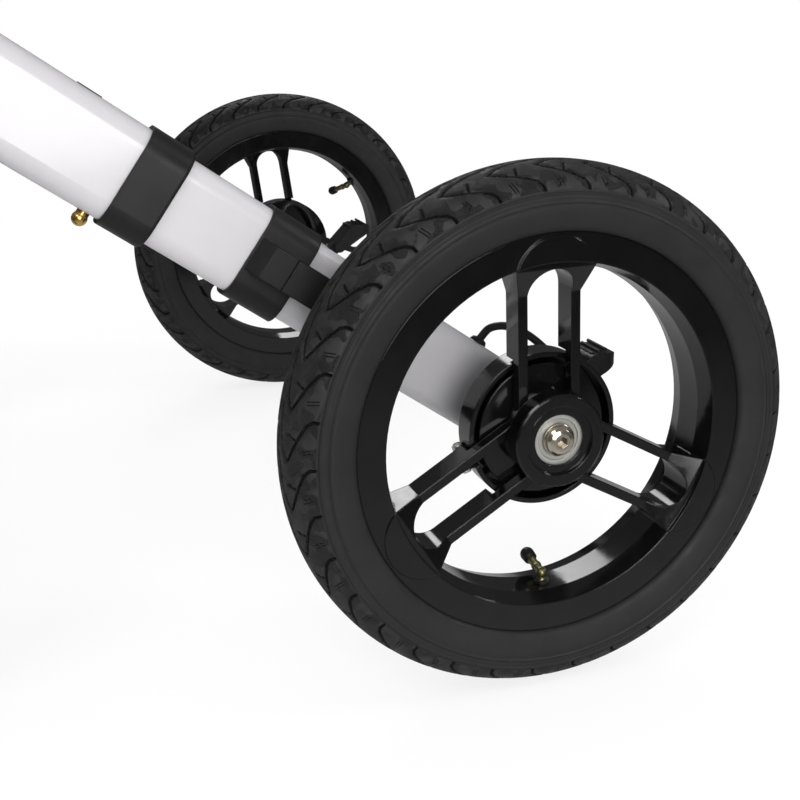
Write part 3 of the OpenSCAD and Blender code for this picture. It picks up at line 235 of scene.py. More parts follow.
def tyre_rubber(looks):
    """Rubber with grooves and sipes darkened by painted shade, crosshatched patches lightened by a painted
    highlight where raised, and a little dust on the tread.
    """
    f = Finish("tyre_rubber", looks.tyre_colour, 0.6, Specular_IOR_Level=0.34)
    parts = f.node("SeparateXYZ", Vector=f.node("UVMap", {"uv_map": "tread"}).outputs["UV"])
    s, t = parts.outputs["X"], parts.outputs["Y"]
    from_crown = f.maths("ABSOLUTE", t)
    # Both halves of the tread repeat one drawing, the far half a half pitch on
    half_on = f.maths("MULTIPLY", f.maths("LESS_THAN", t, 0.0), PITCH / 2000)
    around = f.node("Math", {"operation": "WRAP"}, _0=f.maths("ADD", s, half_on), _1=0.0,
                    _2=PITCH / 1000).outputs[0]
    place = f.node("CombineXYZ", X=around, Y=from_crown).outputs["Vector"]
    # Each kind of line, and the millimetres that make it narrower on each side
    drawn = (([SWEEP_GROOVE, RETURN_GROOVE], 0.1), ([LINK_GROOVE], 0.3), (SIPES, 0.55))
    gaps = [f.maths("ADD", f.line_distance(place, repeats(lines)), spare / 1000)
            for lines, spare in drawn]
    near = f.maths("MINIMUM", f.maths("MINIMUM", gaps[0], gaps[1]), gaps[2])
    groove = f.remap(near, 1, 0, 0.0006, 0.00105)
    per_metre = HATCH_ROWS * 1000 * 2 * math.pi / PITCH
    rows = [f.maths("SINE", f.maths("MULTIPLY", f.maths(op, s, t), per_metre))
            for op in ("ADD", "SUBTRACT")]
    on_tread = f.maths("LESS_THAN", from_crown, 0.031)
    patch = f.maths("MULTIPLY", f.remap(f.noise(120, 1), 0, 1, 0.47, 0.53), on_tread)
    hatch = f.maths("MULTIPLY", f.maths("MULTIPLY", *rows), patch)
    f.tint(f.remap(f.noise(38, 5), 0, 0.6), 1.5)
    f.tint(f.maths("MULTIPLY", f.remap(f.noise(160, 4), 0, 0.5), on_tread), (0.030, 0.029, 0.028))
    # Painted highlight: the raised points of the crosshatch are lightened
    f.tint(f.maths("MULTIPLY", hatch, 0.8), 1.9)
    # Painted shade: the base colour goes nearly black inside the grooves and sipes, which the mesh and the bump
    # also cut
    f.tint(groove, (0.0015, 0.0015, 0.0015))
    f.rough(f.noise(90, 4), 0.5, 0.7)
    f.bump(groove, -0.0009, 1.0)
    f.bump(hatch, 0.0006, 0.9)
    return f.bump(f.noise(1500, 3), 0.00005, 0.6)


def soft_rubber(name, colour, low, high):
    f = Finish(name, colour, low)
    f.tint(f.remap(f.noise(55, 4), 0, 0.6), 1.5)
    f.rough(f.noise(150, 3), low, high)
    return f.bump(f.noise(1700, 2), 0.00006, 0.7)


def woven(name, colour, pitch, uv="cloth"):
    """Basket weave of coarse yarn on the piece's own cloth coordinates, in metres."""
    f = Finish(name, colour, 0.82, Sheen_Weight=0.35, Sheen_Roughness=0.5, Specular_IOR_Level=0.25)
    parts = f.node("SeparateXYZ", Vector=f.node("UVMap", {"uv_map": uv}).outputs["UV"])
    turns = 2 * math.pi / pitch
    a = f.maths("SINE", f.maths("MULTIPLY", parts.outputs["X"], turns))
    b = f.maths("SINE", f.maths("MULTIPLY", parts.outputs["Y"], turns))
    over = f.maths("MULTIPLY", a, b)
    yarn = f.maths("ADD", f.maths("ABSOLUTE", over), f.maths("MULTIPLY", f.noise(2400, 2), 0.35))
    # Painted shade: the base colour darkens in the low gaps between the yarns
    f.tint(f.remap(yarn, 0.75, 0, 0.1, 0.8), 0.35)
    f.tint(f.remap(f.noise(18, 4), 0, 0.5), 1.35)
    f.rough(f.noise(300, 3), 0.74, 0.92)
    return f.bump(yarn, 0.00035, 0.8)


def cable_jacket():
    f = Finish("cable_jacket", (0.012, 0.012, 0.012), 0.3)
    f.rough(f.noise(200, 3), 0.24, 0.4)
    return f.bump(f.noise(900, 2), 0.00004, 0.5)


# Mesh helpers
def make(name, bm, finish, body, replaces=(), sharp=35, keep_normals=False):
    """Turns a bmesh into a finished piece that rides on a body."""
    if not keep_normals:
        bmesh.ops.remove_doubles(bm, verts=bm.verts, dist=1e-6)
        bmesh.ops.recalc_face_normals(bm, faces=bm.faces)
    mesh = bpy.data.meshes.new(name)
    bm.to_mesh(mesh)
    bm.free()
    return fit_out(name, mesh, finish, body, replaces, sharp)


def fit_out(name, mesh, finish, body, replaces=(), sharp=35):
    piece = bpy.data.objects.new(name, mesh)
    bpy.context.scene.collection.objects.link(piece)
    for f in finish if isinstance(finish, (list, tuple)) else [finish]:
        mesh.materials.append(f.material)
    mesh.polygons.foreach_set("use_smooth", [True] * len(mesh.polygons))
    mesh.set_sharp_from_angle(angle=math.radians(sharp))
    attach(piece, body)
    if replaces:
        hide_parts(*replaces)
    return piece


def add(bm, part, turn, finish):
    """Places a part's bmesh and joins it to another, all in one finish."""
    for face in part.faces:
        face.material_index = finish
    part.transform(turn)
    mesh = bpy.data.meshes.new("part")
    part.to_mesh(mesh)
    part.free()
    bm.from_mesh(mesh)
    bpy.data.meshes.remove(mesh)


def lathe(bm, profile, turn=Matrix.Identity(4), steps=48, finish=0):
    """Spins (radius, height) pairs round Z into a closed shape, then places it."""
    part = bmesh.new()
    verts = [part.verts.new((r, 0, z)) for r, z in profile]
    pairs = list(zip(verts, verts[1:]))
    if profile[0][0] > 1e-6:
        pairs.append((verts[-1], verts[0]))
    edges = [part.edges.new(pair) for pair in pairs]
    bmesh.ops.spin(part, geom=verts + edges, cent=(0, 0, 0), axis=(0, 0, 1),
                   angle=2 * math.pi, steps=steps, use_merge=True)
    bmesh.ops.remove_doubles(part, verts=part.verts, dist=2e-6)
    bmesh.ops.recalc_face_normals(part, faces=part.faces)
    add(bm, part, turn, finish)


def prism(bm, sides, radius, height, turn, finish=0, corner=0.0):
    """Straight bar standing on the origin of `turn`, along its Z, its long edges rounded."""
    part = bmesh.new()
    bmesh.ops.create_cone(part, cap_ends=True, segments=sides, radius1=radius, radius2=radius,
                          depth=height, matrix=Matrix.Translation((0, 0, height / 2)))
    if corner:
        upright = [e for e in part.edges if abs(e.verts[0].co.z - e.verts[1].co.z) > height / 2]
        bmesh.ops.bevel(part, geom=upright, offset=corner, offset_type="OFFSET", affect="EDGES",
                        segments=5, profile=0.5, material=-1)
    add(bm, part, turn, finish)


def axes(origin, along, across):
    """Matrix at origin with Z along one direction and X as near as can be to another."""
    z = Vector(along).normalized()
    y = z.cross(Vector(across)).normalized()
    matrix = Matrix((y.cross(z), y, z)).transposed().to_4x4()
    matrix.translation = Vector(origin)
    return matrix


def pipe_mesh(name, points, radius, sides=12):
    """A round tube along points, as a mesh in place."""
    curve = bpy.data.curves.new(name, "CURVE")
    curve.dimensions = "3D"
    curve.bevel_depth, curve.bevel_resolution, curve.use_fill_caps = radius, sides // 4, True
    curve.resolution_u = 6
    spline = curve.splines.new("NURBS")
    spline.points.add(len(points) - 1)
    for p, co in zip(spline.points, points):
        p.co = (*co, 1)
    spline.order_u, spline.use_endpoint_u = 3, True
    holder = bpy.data.objects.new(name + "_path", curve)
    bpy.context.scene.collection.objects.link(holder)
    bpy.context.view_layer.update()
    mesh = bpy.data.meshes.new_from_object(holder)
    bpy.data.objects.remove(holder)
    bpy.data.curves.remove(curve)
    mesh.name = name
    return mesh


def mapped_grid(across, along, place, uv_size, uv="cloth", closed=False):
    """A grid whose point (u, v), in 0..1, lies at place(u, v), with UVs in metres."""
    bm = bmesh.new()
    bmesh.ops.create_grid(bm, x_segments=across, y_segments=along, size=0.5)
    layer = bm.loops.layers.uv.new(uv)
    for face in bm.faces:
        for loop in face.loops:
            co = loop.vert.co
            loop[layer].uv = ((co.x + 0.5) * uv_size[0], (co.y + 0.5) * uv_size[1])
    for v in bm.verts:
        v.co = Vector(place(v.co.x + 0.5, v.co.y + 0.5))
    if closed:
        bmesh.ops.remove_doubles(bm, verts=bm.verts, dist=1e-6)
        bmesh.ops.holes_fill(bm, edges=[e for e in bm.edges if e.is_boundary], sides=0)
    bmesh.ops.recalc_face_normals(bm, faces=bm.faces)
    return bm


def stitch_row(bm, points, normals, length, width, finish=0):
    """Small raised stitches with tapered ends along a line of points, every second step."""
    for a, b, n in list(zip(points, points[1:], normals))[::2]:
        base = axes((a + b) / 2, n, b - a) @ Matrix.Diagonal((length, width, width, 1))
        rings = []
        for x, size in ((-0.5, 0.22), (-0.28, 0.5), (0.28, 0.5), (0.5, 0.22)):
            rings.append([bm.verts.new(base @ Vector((x, y * size, z * size)))
                          for y, z in ((-1, -1), (1, -1), (1, 1), (-1, 1))])
        sides = [(p[k - 1], p[k], q[k], q[k - 1])
                 for p, q in zip(rings, rings[1:]) for k in range(4)]
        for corners in sides + [rings[0][::-1], rings[-1]]:
            bm.faces.new(corners).material_index = finish


THREAD = 0.0006


# Tyre: casing, ridges and tread, in millimetres as (round the tyre, off the crown line)
PITCHES, STEPS_PER_PITCH = 34, 23
CROWN, MIDDLE, HALF_WIDTH = 155.0, 135.5, 26.7
PITCH = 2 * math.pi * CROWN / PITCHES
# How far past its own ends a pitch still sees its neighbours' lines
PITCH_SEES = 1.5
HATCH_ROWS = 17
SWEEP_GROOVE = [(0, 30.4), (0.4, 27.4), (2.7, 24.4), (6.3, 22.4), (10.7, 20), (18.6, 16),
                (24, 13), (27, 10.6)]
RETURN_GROOVE = [(27, 10.6), (20.5, 6.2), (11, 3.4), (0, 1.6), (-5, 0)]
LINK_GROOVE = [(11, 11.4), (13.2, 18.2)]
SIPES = [[(18.2, 22.6), (16.3, 28.6)], [(20, 22.8), (18.2, 28.9)]]
# Line, half width, and share of the tread depth
CUTS = ((SWEEP_GROOVE, 0.75, 1.0), (RETURN_GROOVE, 0.75, 1.0), (LINK_GROOVE, 0.55, 0.7))
# Place, height and spread of the ridges beside the tread
RIDGES = ((33.2, 0.6), (38.0, 0.5), (36.6, -0.2))
RIDGE_SPREAD = 0.55
BEAD, RIM_SEAT = 118.2, 104.9
CASING, CASING_TOP, INSIDE = 22.5, 148.5, 130
# Between these the section is fine, for the ridges. Past OFF_TREAD nothing is drawn
FINE_FROM, FINE_TO, OFF_TREAD = 41, 31, 60


def squared_oval(angle, half_width, top):
    """A point of a slightly squared ellipse, as (radius, offset)."""
    c, s = math.cos(math.radians(angle)), math.sin(math.radians(angle))
    power = 2 / 2.15
    radius = MIDDLE + (top - MIDDLE) * abs(s) ** power
    return radius, math.copysign(half_width * abs(c) ** power, c)


def repeats(lines):
    """Every segment in metres that one pitch of the tread sees, its neighbours' among them."""
    found = []
    for line in lines:
        for shift in (-PITCH, 0, PITCH):
            for (s0, t0), (s1, t1) in zip(line, line[1:]):
                first, last = min(s0, s1) + shift, max(s0, s1) + shift
                if last > -PITCH_SEES and first < PITCH + PITCH_SEES:
                    ends = ((s0 + shift, t0), (s1 + shift, t1))
                    found.append([(s / 1000, t / 1000) for s, t in ends])
    return found


def near_line(s, t, line):
    """Distance of every (s, t) to a line that repeats each pitch."""
    best = np.full(s.shape, 99.0)
    for shift in (-2, -1, 0, 1, 2):
        for (s0, t0), (s1, t1) in zip(line, line[1:]):
            ds, dt, at = s1 - s0, t1 - t0, s - s0 - shift * PITCH
            u = np.clip((at * ds + (t - t0) * dt) / (ds * ds + dt * dt), 0, 1)
            best = np.minimum(best, np.hypot(at - u * ds, t - t0 - u * dt))
    return best


def cut(distance, half_width, soft=0.5):
    """1 in a groove and 0 beside it, with a soft step at its edge."""
    x = np.clip((half_width + soft - distance) / (2 * soft), 0, 1)
    return x * x * (3 - 2 * x)


def tyre_section():
    """The outside and inside as (radius, offset), and how far each point is off the crown."""
    wall = [(BEAD, 22.5), (118.9, 23.9), (121, 24.9), (126, 26.1), (131, 26.85)]
    wall = np.array(wall + [squared_oval(a, HALF_WIDTH, CROWN) for a in np.arange(0, 90.1, 1.5)])
    run = np.r_[0, np.cumsum(np.hypot(*np.diff(wall, axis=0).T))]
    across = np.r_[np.linspace(run[-1], FINE_FROM, 8)[:-1],
                   np.arange(FINE_FROM, FINE_TO + 0.1, -0.5), np.linspace(FINE_TO, 0, 25)]
    from_bead = run[-1] - across
    half = np.c_[np.interp(from_bead, run, wall[:, 0]), np.interp(from_bead, run, wall[:, 1])]
    outer = np.r_[half, (half * [1, -1])[::-1][1:]]
    inner = [(BEAD, -19.1), (RIM_SEAT, -18.9), (RIM_SEAT, -13)]
    inner += [squared_oval(a, CASING, CASING_TOP) for a in range(180, -1, -20)]
    inner += [(RIM_SEAT, 13), (RIM_SEAT, 18.9), (BEAD, 19.1)]
    return outer, np.array(inner), np.r_[across, -across[::-1][1:]]


def tyre_mesh(tread_depth):
    """A treaded tyre round Z, outboard side up: one pitch, turned and joined all round."""
    outer, inner, across = tyre_section()
    loop = np.r_[outer, inner] / 1000
    bm = bmesh.new()
    mark = bm.verts.layers.int.new("row")
    verts = [bm.verts.new((r, 0, w)) for r, w in loop]
    for row, v in enumerate(verts):
        v[mark] = row
    edges = [bm.edges.new(pair) for pair in zip(verts, verts[1:] + verts[:1])]
    bmesh.ops.spin(bm, geom=verts + edges, cent=(0, 0, 0), axis=(0, 0, 1),
                   angle=2 * math.pi / PITCHES, steps=STEPS_PER_PITCH)
    # How far each point of the outside sinks in, in millimetres
    tangent = np.gradient(outer, axis=0)
    out = np.c_[-tangent[:, 1], tangent[:, 0]] / np.linalg.norm(tangent, axis=1)[:, None]
    out[(out[:, 0] * (outer[:, 0] - INSIDE) + out[:, 1] * outer[:, 1]) < 0] *= -1
    ridges = 0.3 * cut(np.abs(np.abs(across) - 31.8), 0.5)
    for at, high in RIDGES:
        ridges -= high * np.exp(-((np.abs(across) - at) / RIDGE_SPREAD) ** 2)
    side = np.where(across < 0, -1, 1)
    uv = bm.loops.layers.uv.new("tread")
    place = {}
    for v in bm.verts:
        row = v[mark]
        s = math.atan2(v.co.y, v.co.x) * CROWN
        t = across[row] if row < len(outer) else math.copysign(OFF_TREAD, loop[row][1])
        place[v] = (s / 1000, t / 1000)
        if row < len(outer):
            here = np.array([s + (PITCH / 2 if side[row] < 0 else 0)]), np.array([abs(t)])
            groove = max(float(cut(near_line(*here, line), wide)[0]) * deep
                         for line, wide, deep in CUTS)
            sink = groove * tread_depth + ridges[row]
            r = min(outer[row][0] - sink * out[row][0], CROWN) / 1000
            turn = math.atan2(v.co.y, v.co.x)
            width = (outer[row][1] - sink * out[row][1]) / 1000
            v.co = (r * math.cos(turn), r * math.sin(turn), width)
    for face in bm.faces:
        for corner in face.loops:
            corner[uv].uv = place[corner.vert]
    pitch = bpy.data.meshes.new("one_pitch")
    bm.to_mesh(pitch)
    bm.free()
    bm = bmesh.new()
    for _ in range(PITCHES):
        bm.from_mesh(pitch)
        pitch.transform(Matrix.Rotation(2 * math.pi / PITCHES, 4, "Z"))
    bmesh.ops.remove_doubles(bm, verts=bm.verts, dist=1e-5)
    bmesh.ops.recalc_face_normals(bm, faces=bm.faces)
    bm.to_mesh(pitch)
    bm.free()
    return pitch


# Property groups
class TyreLooks(bpy.types.PropertyGroup):
    """Sizes and colours of the tyres."""
    tread_depth: FloatProperty(name="Tread depth", default=1.9, min=0.5, max=3.0,
                               description="Depth of the main grooves in millimetres")
    tyre_colour: FloatVectorProperty(name="Tyre", description="Colour of the tyre rubber",
                                     subtype="COLOR", default=(0.0085, 0.0080, 0.0087),
                                     min=0, max=1)


class FrameLooks(bpy.types.PropertyGroup):
    """Colours of the tubes, rims and mouldings."""
    tube_colour: FloatVectorProperty(name="Tubes", description="Colour of the painted tubes",
                                     subtype="COLOR", default=(0.425, 0.415, 0.432), min=0, max=1)
    rim_colour: FloatVectorProperty(name="Rims", description="Colour of the glossy rims",
                                    subtype="COLOR", default=(0.0022, 0.0022, 0.0024), min=0, max=1)
    plastic_colour: FloatVectorProperty(name="Mouldings", subtype="COLOR", min=0, max=1,
                                        description="Colour of the plastic mouldings",
                                        default=(0.0085, 0.0082, 0.0086))


class SoftLooks(bpy.types.PropertyGroup):
    """Sizes and colours of the seat, backrest and grips."""
    fabric_colour: FloatVectorProperty(name="Fabric", description="Colour of the seat fabric",
                                       subtype="COLOR", default=(0.030, 0.031, 0.034), min=0, max=1)
    yarn: FloatProperty(name="Yarn", description="Pitch of the weave", default=0.0022, min=0.001,
                        max=0.005, unit="LENGTH", precision=4)
    padding: FloatProperty(name="Padding", description="Crown of the backrest padding",
                           default=0.006, min=0.001, max=0.01, unit="LENGTH", precision=4)
    grip_ribs: IntProperty(name="Grip ribs", description="Ribs round each hand grip", default=22,
                           min=8, max=40)


def looks():
    scene = bpy.context.scene
    return scene.rollator_tyres, scene.rollator_frame, scene.rollator_soft


def finishes():
    """Every finish by the record's slot name, made once."""
    if not FINISHES:
        tyres, paint, soft = looks()
        FINISHES.update(
            silver_paint=white_paint(paint), gloss_black=gloss_black(paint),
            satin_plastic=satin_plastic(paint), black_casting=black_casting(paint),
            tyre_rubber=tyre_rubber(tyres),
            tube_rubber=soft_rubber("tube_rubber", (0.02, 0.02, 0.02), 0.4, 0.55),
            grip_rubber=soft_rubber("grip_rubber", (0.018, 0.018, 0.018), 0.55, 0.75),
            shoe_lining=soft_rubber("shoe_lining", (0.09, 0.07, 0.05), 0.8, 0.95),
            bearing_steel=metal("bearing_steel", (0.90, 0.89, 0.83), 0.36, 0.48, (1, 6, 6)),
            nickel_bolt=metal("nickel_bolt", (0.74, 0.67, 0.56), 0.13, 0.2),
            zinc_steel=metal("zinc_steel", (0.60, 0.61, 0.63), 0.3, 0.46, edge=0.0008),
            brass=metal("brass", (0.78, 0.50, 0.17), 0.16, 0.3),
            valve_brass=metal("valve_brass", (0.23, 0.21, 0.11), 0.3, 0.45),
            dark_steel=metal("dark_steel", (0.10, 0.10, 0.10), 0.3, 0.5),
            cable_jacket=cable_jacket(),
            seat_fabric=woven("seat_fabric", soft.fabric_colour, soft.yarn),
            backrest_pad=woven("backrest_pad", soft.fabric_colour, soft.yarn * 0.6),
            thread=soft_rubber("sewing_thread", (0.10, 0.10, 0.105), 0.6, 0.8),
            webbing=woven("webbing", (0.012, 0.012, 0.013), 0.0016))
    return FINISHES


FINISHES = {}


class BuildStep:
    """Shared by every step below."""
    bl_options = {"REGISTER", "UNDO"}

    def execute(self, context):
        self.build(*looks())
        return {"FINISHED"}


class ROLLATOR_OT_finishes(BuildStep, bpy.types.Operator):
    """Gives each part of the frame its finish."""
    bl_idname = "rollator.finishes"
    bl_label = "Frame finishes"

    def build(self, tyres, paint, soft):
        slots = {s["node"]: s["material_slot"] for s in frame["record"]["subparts"]}
        for name, node in NODES.items():
            node.data.materials.clear()
            node.data.materials.append(finishes()[slots[name]].material)


class ROLLATOR_OT_tyres(BuildStep, bpy.types.Operator):
    """Builds the four treaded tyres."""
    bl_idname = "rollator.tyres"
    bl_label = "Tyres"

    def build(self, tyres, paint, soft):
        treaded = tyre_mesh(tyres.tread_depth)
        for end, side in WHEELS:
            node = f"tyre_{end}_{side}"
            mesh = treaded.copy()
            mesh.name = node + "_treaded"
            mesh.transform(axes(centre(node), (SIDES[side], 0, 0), (0, 1, 0)))
            fit_out(mesh.name, mesh, finishes()["tyre_rubber"], f"wheel_{end}_{side}",
                    [node], 50)
        bpy.data.meshes.remove(treaded)


# Where each side's valve stands round its wheel, in degrees, and places off the axle
VALVE_AT = {"left": 271.8, "right": 38}
TUBE_RING, TUBE_SECTION = 0.1265, 0.0185
VALVE_FOOT, VALVE_BEND = 0.1065, 0.0925
STEM, DOME = 0.0034, 0.0044


class ROLLATOR_OT_valves(BuildStep, bpy.types.Operator):
    """Builds the inner tubes with their bent valves, nuts and caps."""
    bl_idname = "rollator.valves"
    bl_label = "Tubes and valves"

    def build(self, tyres, paint, soft):
        names = ("tube_rubber", "valve_brass", "dark_steel", "satin_plastic")
        kit = [finishes()[name] for name in names]
        for end, side in WHEELS:
            out = Vector((SIDES[side], 0, 0))
            hub = centre(f"tyre_{end}_{side}")
            radial = yz(VALVE_AT[side])
            bm = bmesh.new()
            ring = [(TUBE_RING + TUBE_SECTION * math.cos(a), TUBE_SECTION * math.sin(a))
                    for a in np.linspace(0, 2 * math.pi, 25)]
            lathe(bm, ring, axes(hub, out, (0, 0, 1)), 96)
            base = axes(hub + VALVE_FOOT * radial, -radial, out)
            lathe(bm, [(0, 0), (0.0032, 0), (0.0032, 0.006), (0.0044, 0.0064), (0.0044, 0.0075),
                       (0.0028, 0.009), (0.0027, 0.0135), (0, 0.0135)], base, 24, 1)
            prism(bm, 6, 0.0052, 0.0028, base @ Matrix.Translation((0, 0, 0.0068)), 2)
            # The left valves bend inboard, and the right ones outboard and up
            inboard, outboard = -0.020 * out - 0.003 * radial, 0.020 * out - 0.013 * radial
            stem = inboard if side == "left" else outboard
            along = axes(hub + VALVE_BEND * radial, stem, radial)
            lathe(bm, [(STEM * math.sin(a), -STEM * math.cos(a))
                       for a in np.linspace(0, math.pi, 13)], along, 24, 1)
            reach = stem.length
            lathe(bm, [(0, 0.001), (0.0026, 0.001), (0.0026, 0.006), (0.0031, 0.0064),
                       (0.0031, 0.0078), (0.0026, 0.0082), (0.0026, reach - 0.004),
                       (0, reach - 0.004)], along, 24, 1)
            cap = [(0, reach - 0.0052), (0.0036, reach - 0.0052), (0.0041, reach - 0.0046)]
            cap += [(DOME * math.cos(a), reach + 0.0001 + DOME * math.sin(a))
                    for a in np.linspace(-0.1, math.pi / 2, 10)]
            lathe(bm, cap, along, 32, 3)
            make(f"valve_{end}_{side}", bm, kit, f"wheel_{end}_{side}",
                 [f"inner_tube_{end}_{side}"], 50)


# Where the cable leaves the leg, along it and above its middle, and the housing's clamp lug
CABLE_EXIT, LEG_TOP = 0.033, 0.025
LUG_X, LUG_OFF, LUG_AT = 0.325, 0.0482, 200
LUG_INBOARD, LUG_HALF = 0.0098, 0.0068


class ROLLATOR_OT_brakes(BuildStep, bpy.types.Operator):
    """Builds the outer cables, their end caps and the housing screws."""
    bl_idname = "rollator.brakes"
    bl_label = "Brake cables and screws"

    def build(self, tyres, paint, soft):
        # Points of the cable in millimetres, off the leg's top face and then off the hub
        exit_at = CABLE_EXIT * LEG_DIR + (LEG_TOP - LEG_DROP) * LEG_UP
        at_leg = [(0, 0, 0), (1, 3, 5)]
        to_lug = [(4, -8, 47), (10, 1, 48.5), (18, 11, 44), (27, 20, 35), (35, 26, 25),
                  (40, 29, 17), (41, 29, 12)]
        for side, sign in SIDES.items():
            hub = Vector((sign * LEG_X, REAR.y, REAR.z))
            points = [exit_at + Vector(p) / 1000 for p in at_leg]
            points += [Vector(p) / 1000 for p in to_lug]
            points = [hub + Vector((p.x * sign, p.y, p.z)) for p in points]
            mesh = pipe_mesh(f"outer_cable_{side}", points, 0.0025)
            fit_out(f"outer_cable_{side}", mesh, finishes()["cable_jacket"], f"lower_{side}",
                    [f"brake_cable_{side}"], 60)
            bm = bmesh.new()
            last = axes(points[-1] + Vector((0, 0, -0.0002)), (0, 0, 1), (1, 0, 0))
            lathe(bm, [(0, 0), (0.0033, 0), (0.0035, 0.0006), (0.0035, 0.0085), (0.0031, 0.0095),
                       (0, 0.0096)], last, 32)
            start = axes(points[0], LEG_UP, (1, 0, 0))
            lathe(bm, [(0.0026, 0.0034), (0.0045, 0.0026), (0.0055, 0.0004), (0.0055, 0.0001),
                       (0.0026, 0.0001)], start, 32)
            make(f"cable_ends_{side}", bm, finishes()["satin_plastic"], f"lower_{side}")
            # Screw and nut of the clamp lug on the housing's wall
            bm = bmesh.new()
            lug = Vector((sign * LUG_X, REAR.y, REAR.z)) + LUG_OFF * yz(LUG_AT)
            tangent = yz(LUG_AT - 90)
            lug += Vector((sign * -LUG_INBOARD, 0, 0))
            head = axes(lug + LUG_HALF * tangent, tangent, (1, 0, 0))
            lathe(bm, [(0, 0.0024), (0.0012, 0.0024), (0.0012, 0.0012), (0.0016, 0.0012),
                       (0.0016, 0.0026), (0.0027, 0.0022), (0.003, 0.0012), (0.003, 0), (0, 0)],
                  head, 32)
            prism(bm, 6, 0.0034, 0.0024, axes(lug - LUG_HALF * tangent, -tangent, (1, 0, 0)))
            make(f"housing_screw_{side}", bm, finishes()["bearing_steel"], f"lower_{side}")


class ROLLATOR_OT_seat(BuildStep, bpy.types.Operator):
    """Builds the fabric seat slung between its rails, with hems and seams."""
    bl_idname = "rollator.seat"
    bl_label = "Seat"

    def build(self, tyres, paint, soft):
        lo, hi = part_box("seat_sling")
        rail_r = 0.011
        rail_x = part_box("seat_frame")[1][0] - rail_r
        rail_z = SEAT_FRONT.z
        wrap, thick, tape, hem_width = 0.0116, 0.0022, 0.0012, 0.016
        front, back = lo[1] + 0.001, hi[1] - 0.001
        sag = 0.0225
        arc = 1.5 * math.pi * wrap
        flat = 2 * math.hypot(rail_x, sag * 0.75) + 2 * arc

        def section(u):
            """A point across the cloth, from the seam under one rail to the other."""
            run = (u - 0.5) * flat
            side = 1 if run >= 0 else -1
            away = abs(run)
            middle = flat / 2 - arc
            if away <= middle:
                part = away / middle
                x = part * rail_x
                drop = -sag * (1 - part ** 2) + wrap * part ** 6
                return Vector((side * x, 0, rail_z + drop))
            turn = math.pi / 2 - (away - middle) / wrap
            x = rail_x + wrap * math.cos(turn)
            return Vector((side * x, 0, rail_z + wrap * math.sin(turn)))

        def place(u, v):
            """A point of the cloth, v along the rails, with its bow, waves and thicker hems."""
            p = section(u)
            bow = 0.006 * math.sin(math.pi * v) * (1 - abs(2 * u - 1)) - 0.003
            wave = 0.0006 * math.sin(v * 21) * math.sin(u * 17)
            hem = 0.0011 * max(0, 1 - min(v, 1 - v) * (back - front) / hem_width) ** 0.25
            slack = 1 - (2 * u - 1) ** 2
            return p + Vector((0, front + v * (back - front), slack * (-bow + wave) + hem))

        bm = mapped_grid(150, 64, place, (flat, back - front))
        piece = make("seat_fabric_sheet", bm, finishes()["seat_fabric"], "seat",
                     ["seat_sling"], 60, keep_normals=True)
        solid = piece.modifiers.new("cloth", "SOLIDIFY")
        solid.thickness, solid.offset = thick, 0
        # Bound edges, and the seams beside the rails
        for letter, v0, v1 in (("a", -0.004, 0.045), ("b", 0.955, 1.004)):
            def edge(u, v, v0=v0, v1=v1):
                w = v0 + (v1 - v0) * v
                return place(0.085 + 0.83 * u, w) + Vector((0, 0, 0.0018))
            bm = mapped_grid(120, 6, edge, (flat * 0.83, 0.01))
            band = make(f"seat_binding_{letter}", bm, finishes()["webbing"], "seat",
                        (), 60, keep_normals=True)
            band.modifiers.new("tape", "SOLIDIFY").thickness = tape
        bm = bmesh.new()
        hems, seams = (0.03, 0.97), (0.118, 0.128, 0.872, 0.882)
        over_hem, over_seam = Vector((0, 0, 0.0034)), Vector((0, 0, 0.0013))
        rows = [[(0.10 + 0.80 * k / 260, v) for k in range(261)] for v in hems]
        rows += [[(u, 0.02 + 0.96 * k / 96) for k in range(97)] for u in seams]
        for row in rows:
            points = [place(u, v) + (over_hem if v in hems else over_seam) for u, v in row]
            stitch_row(bm, points, [Vector((0, 0, 1))] * len(points), 0.0019, THREAD)
        make("seat_stitches", bm, finishes()["thread"], "seat")


SIDE_TUBE_HALF = 0.015
# The padded share of the strap, and its sewn channels, as shares of half its height
PAD_START, PAD_SHARE = 0.045, 0.91
CHANNELS = (-0.36, 0.36)


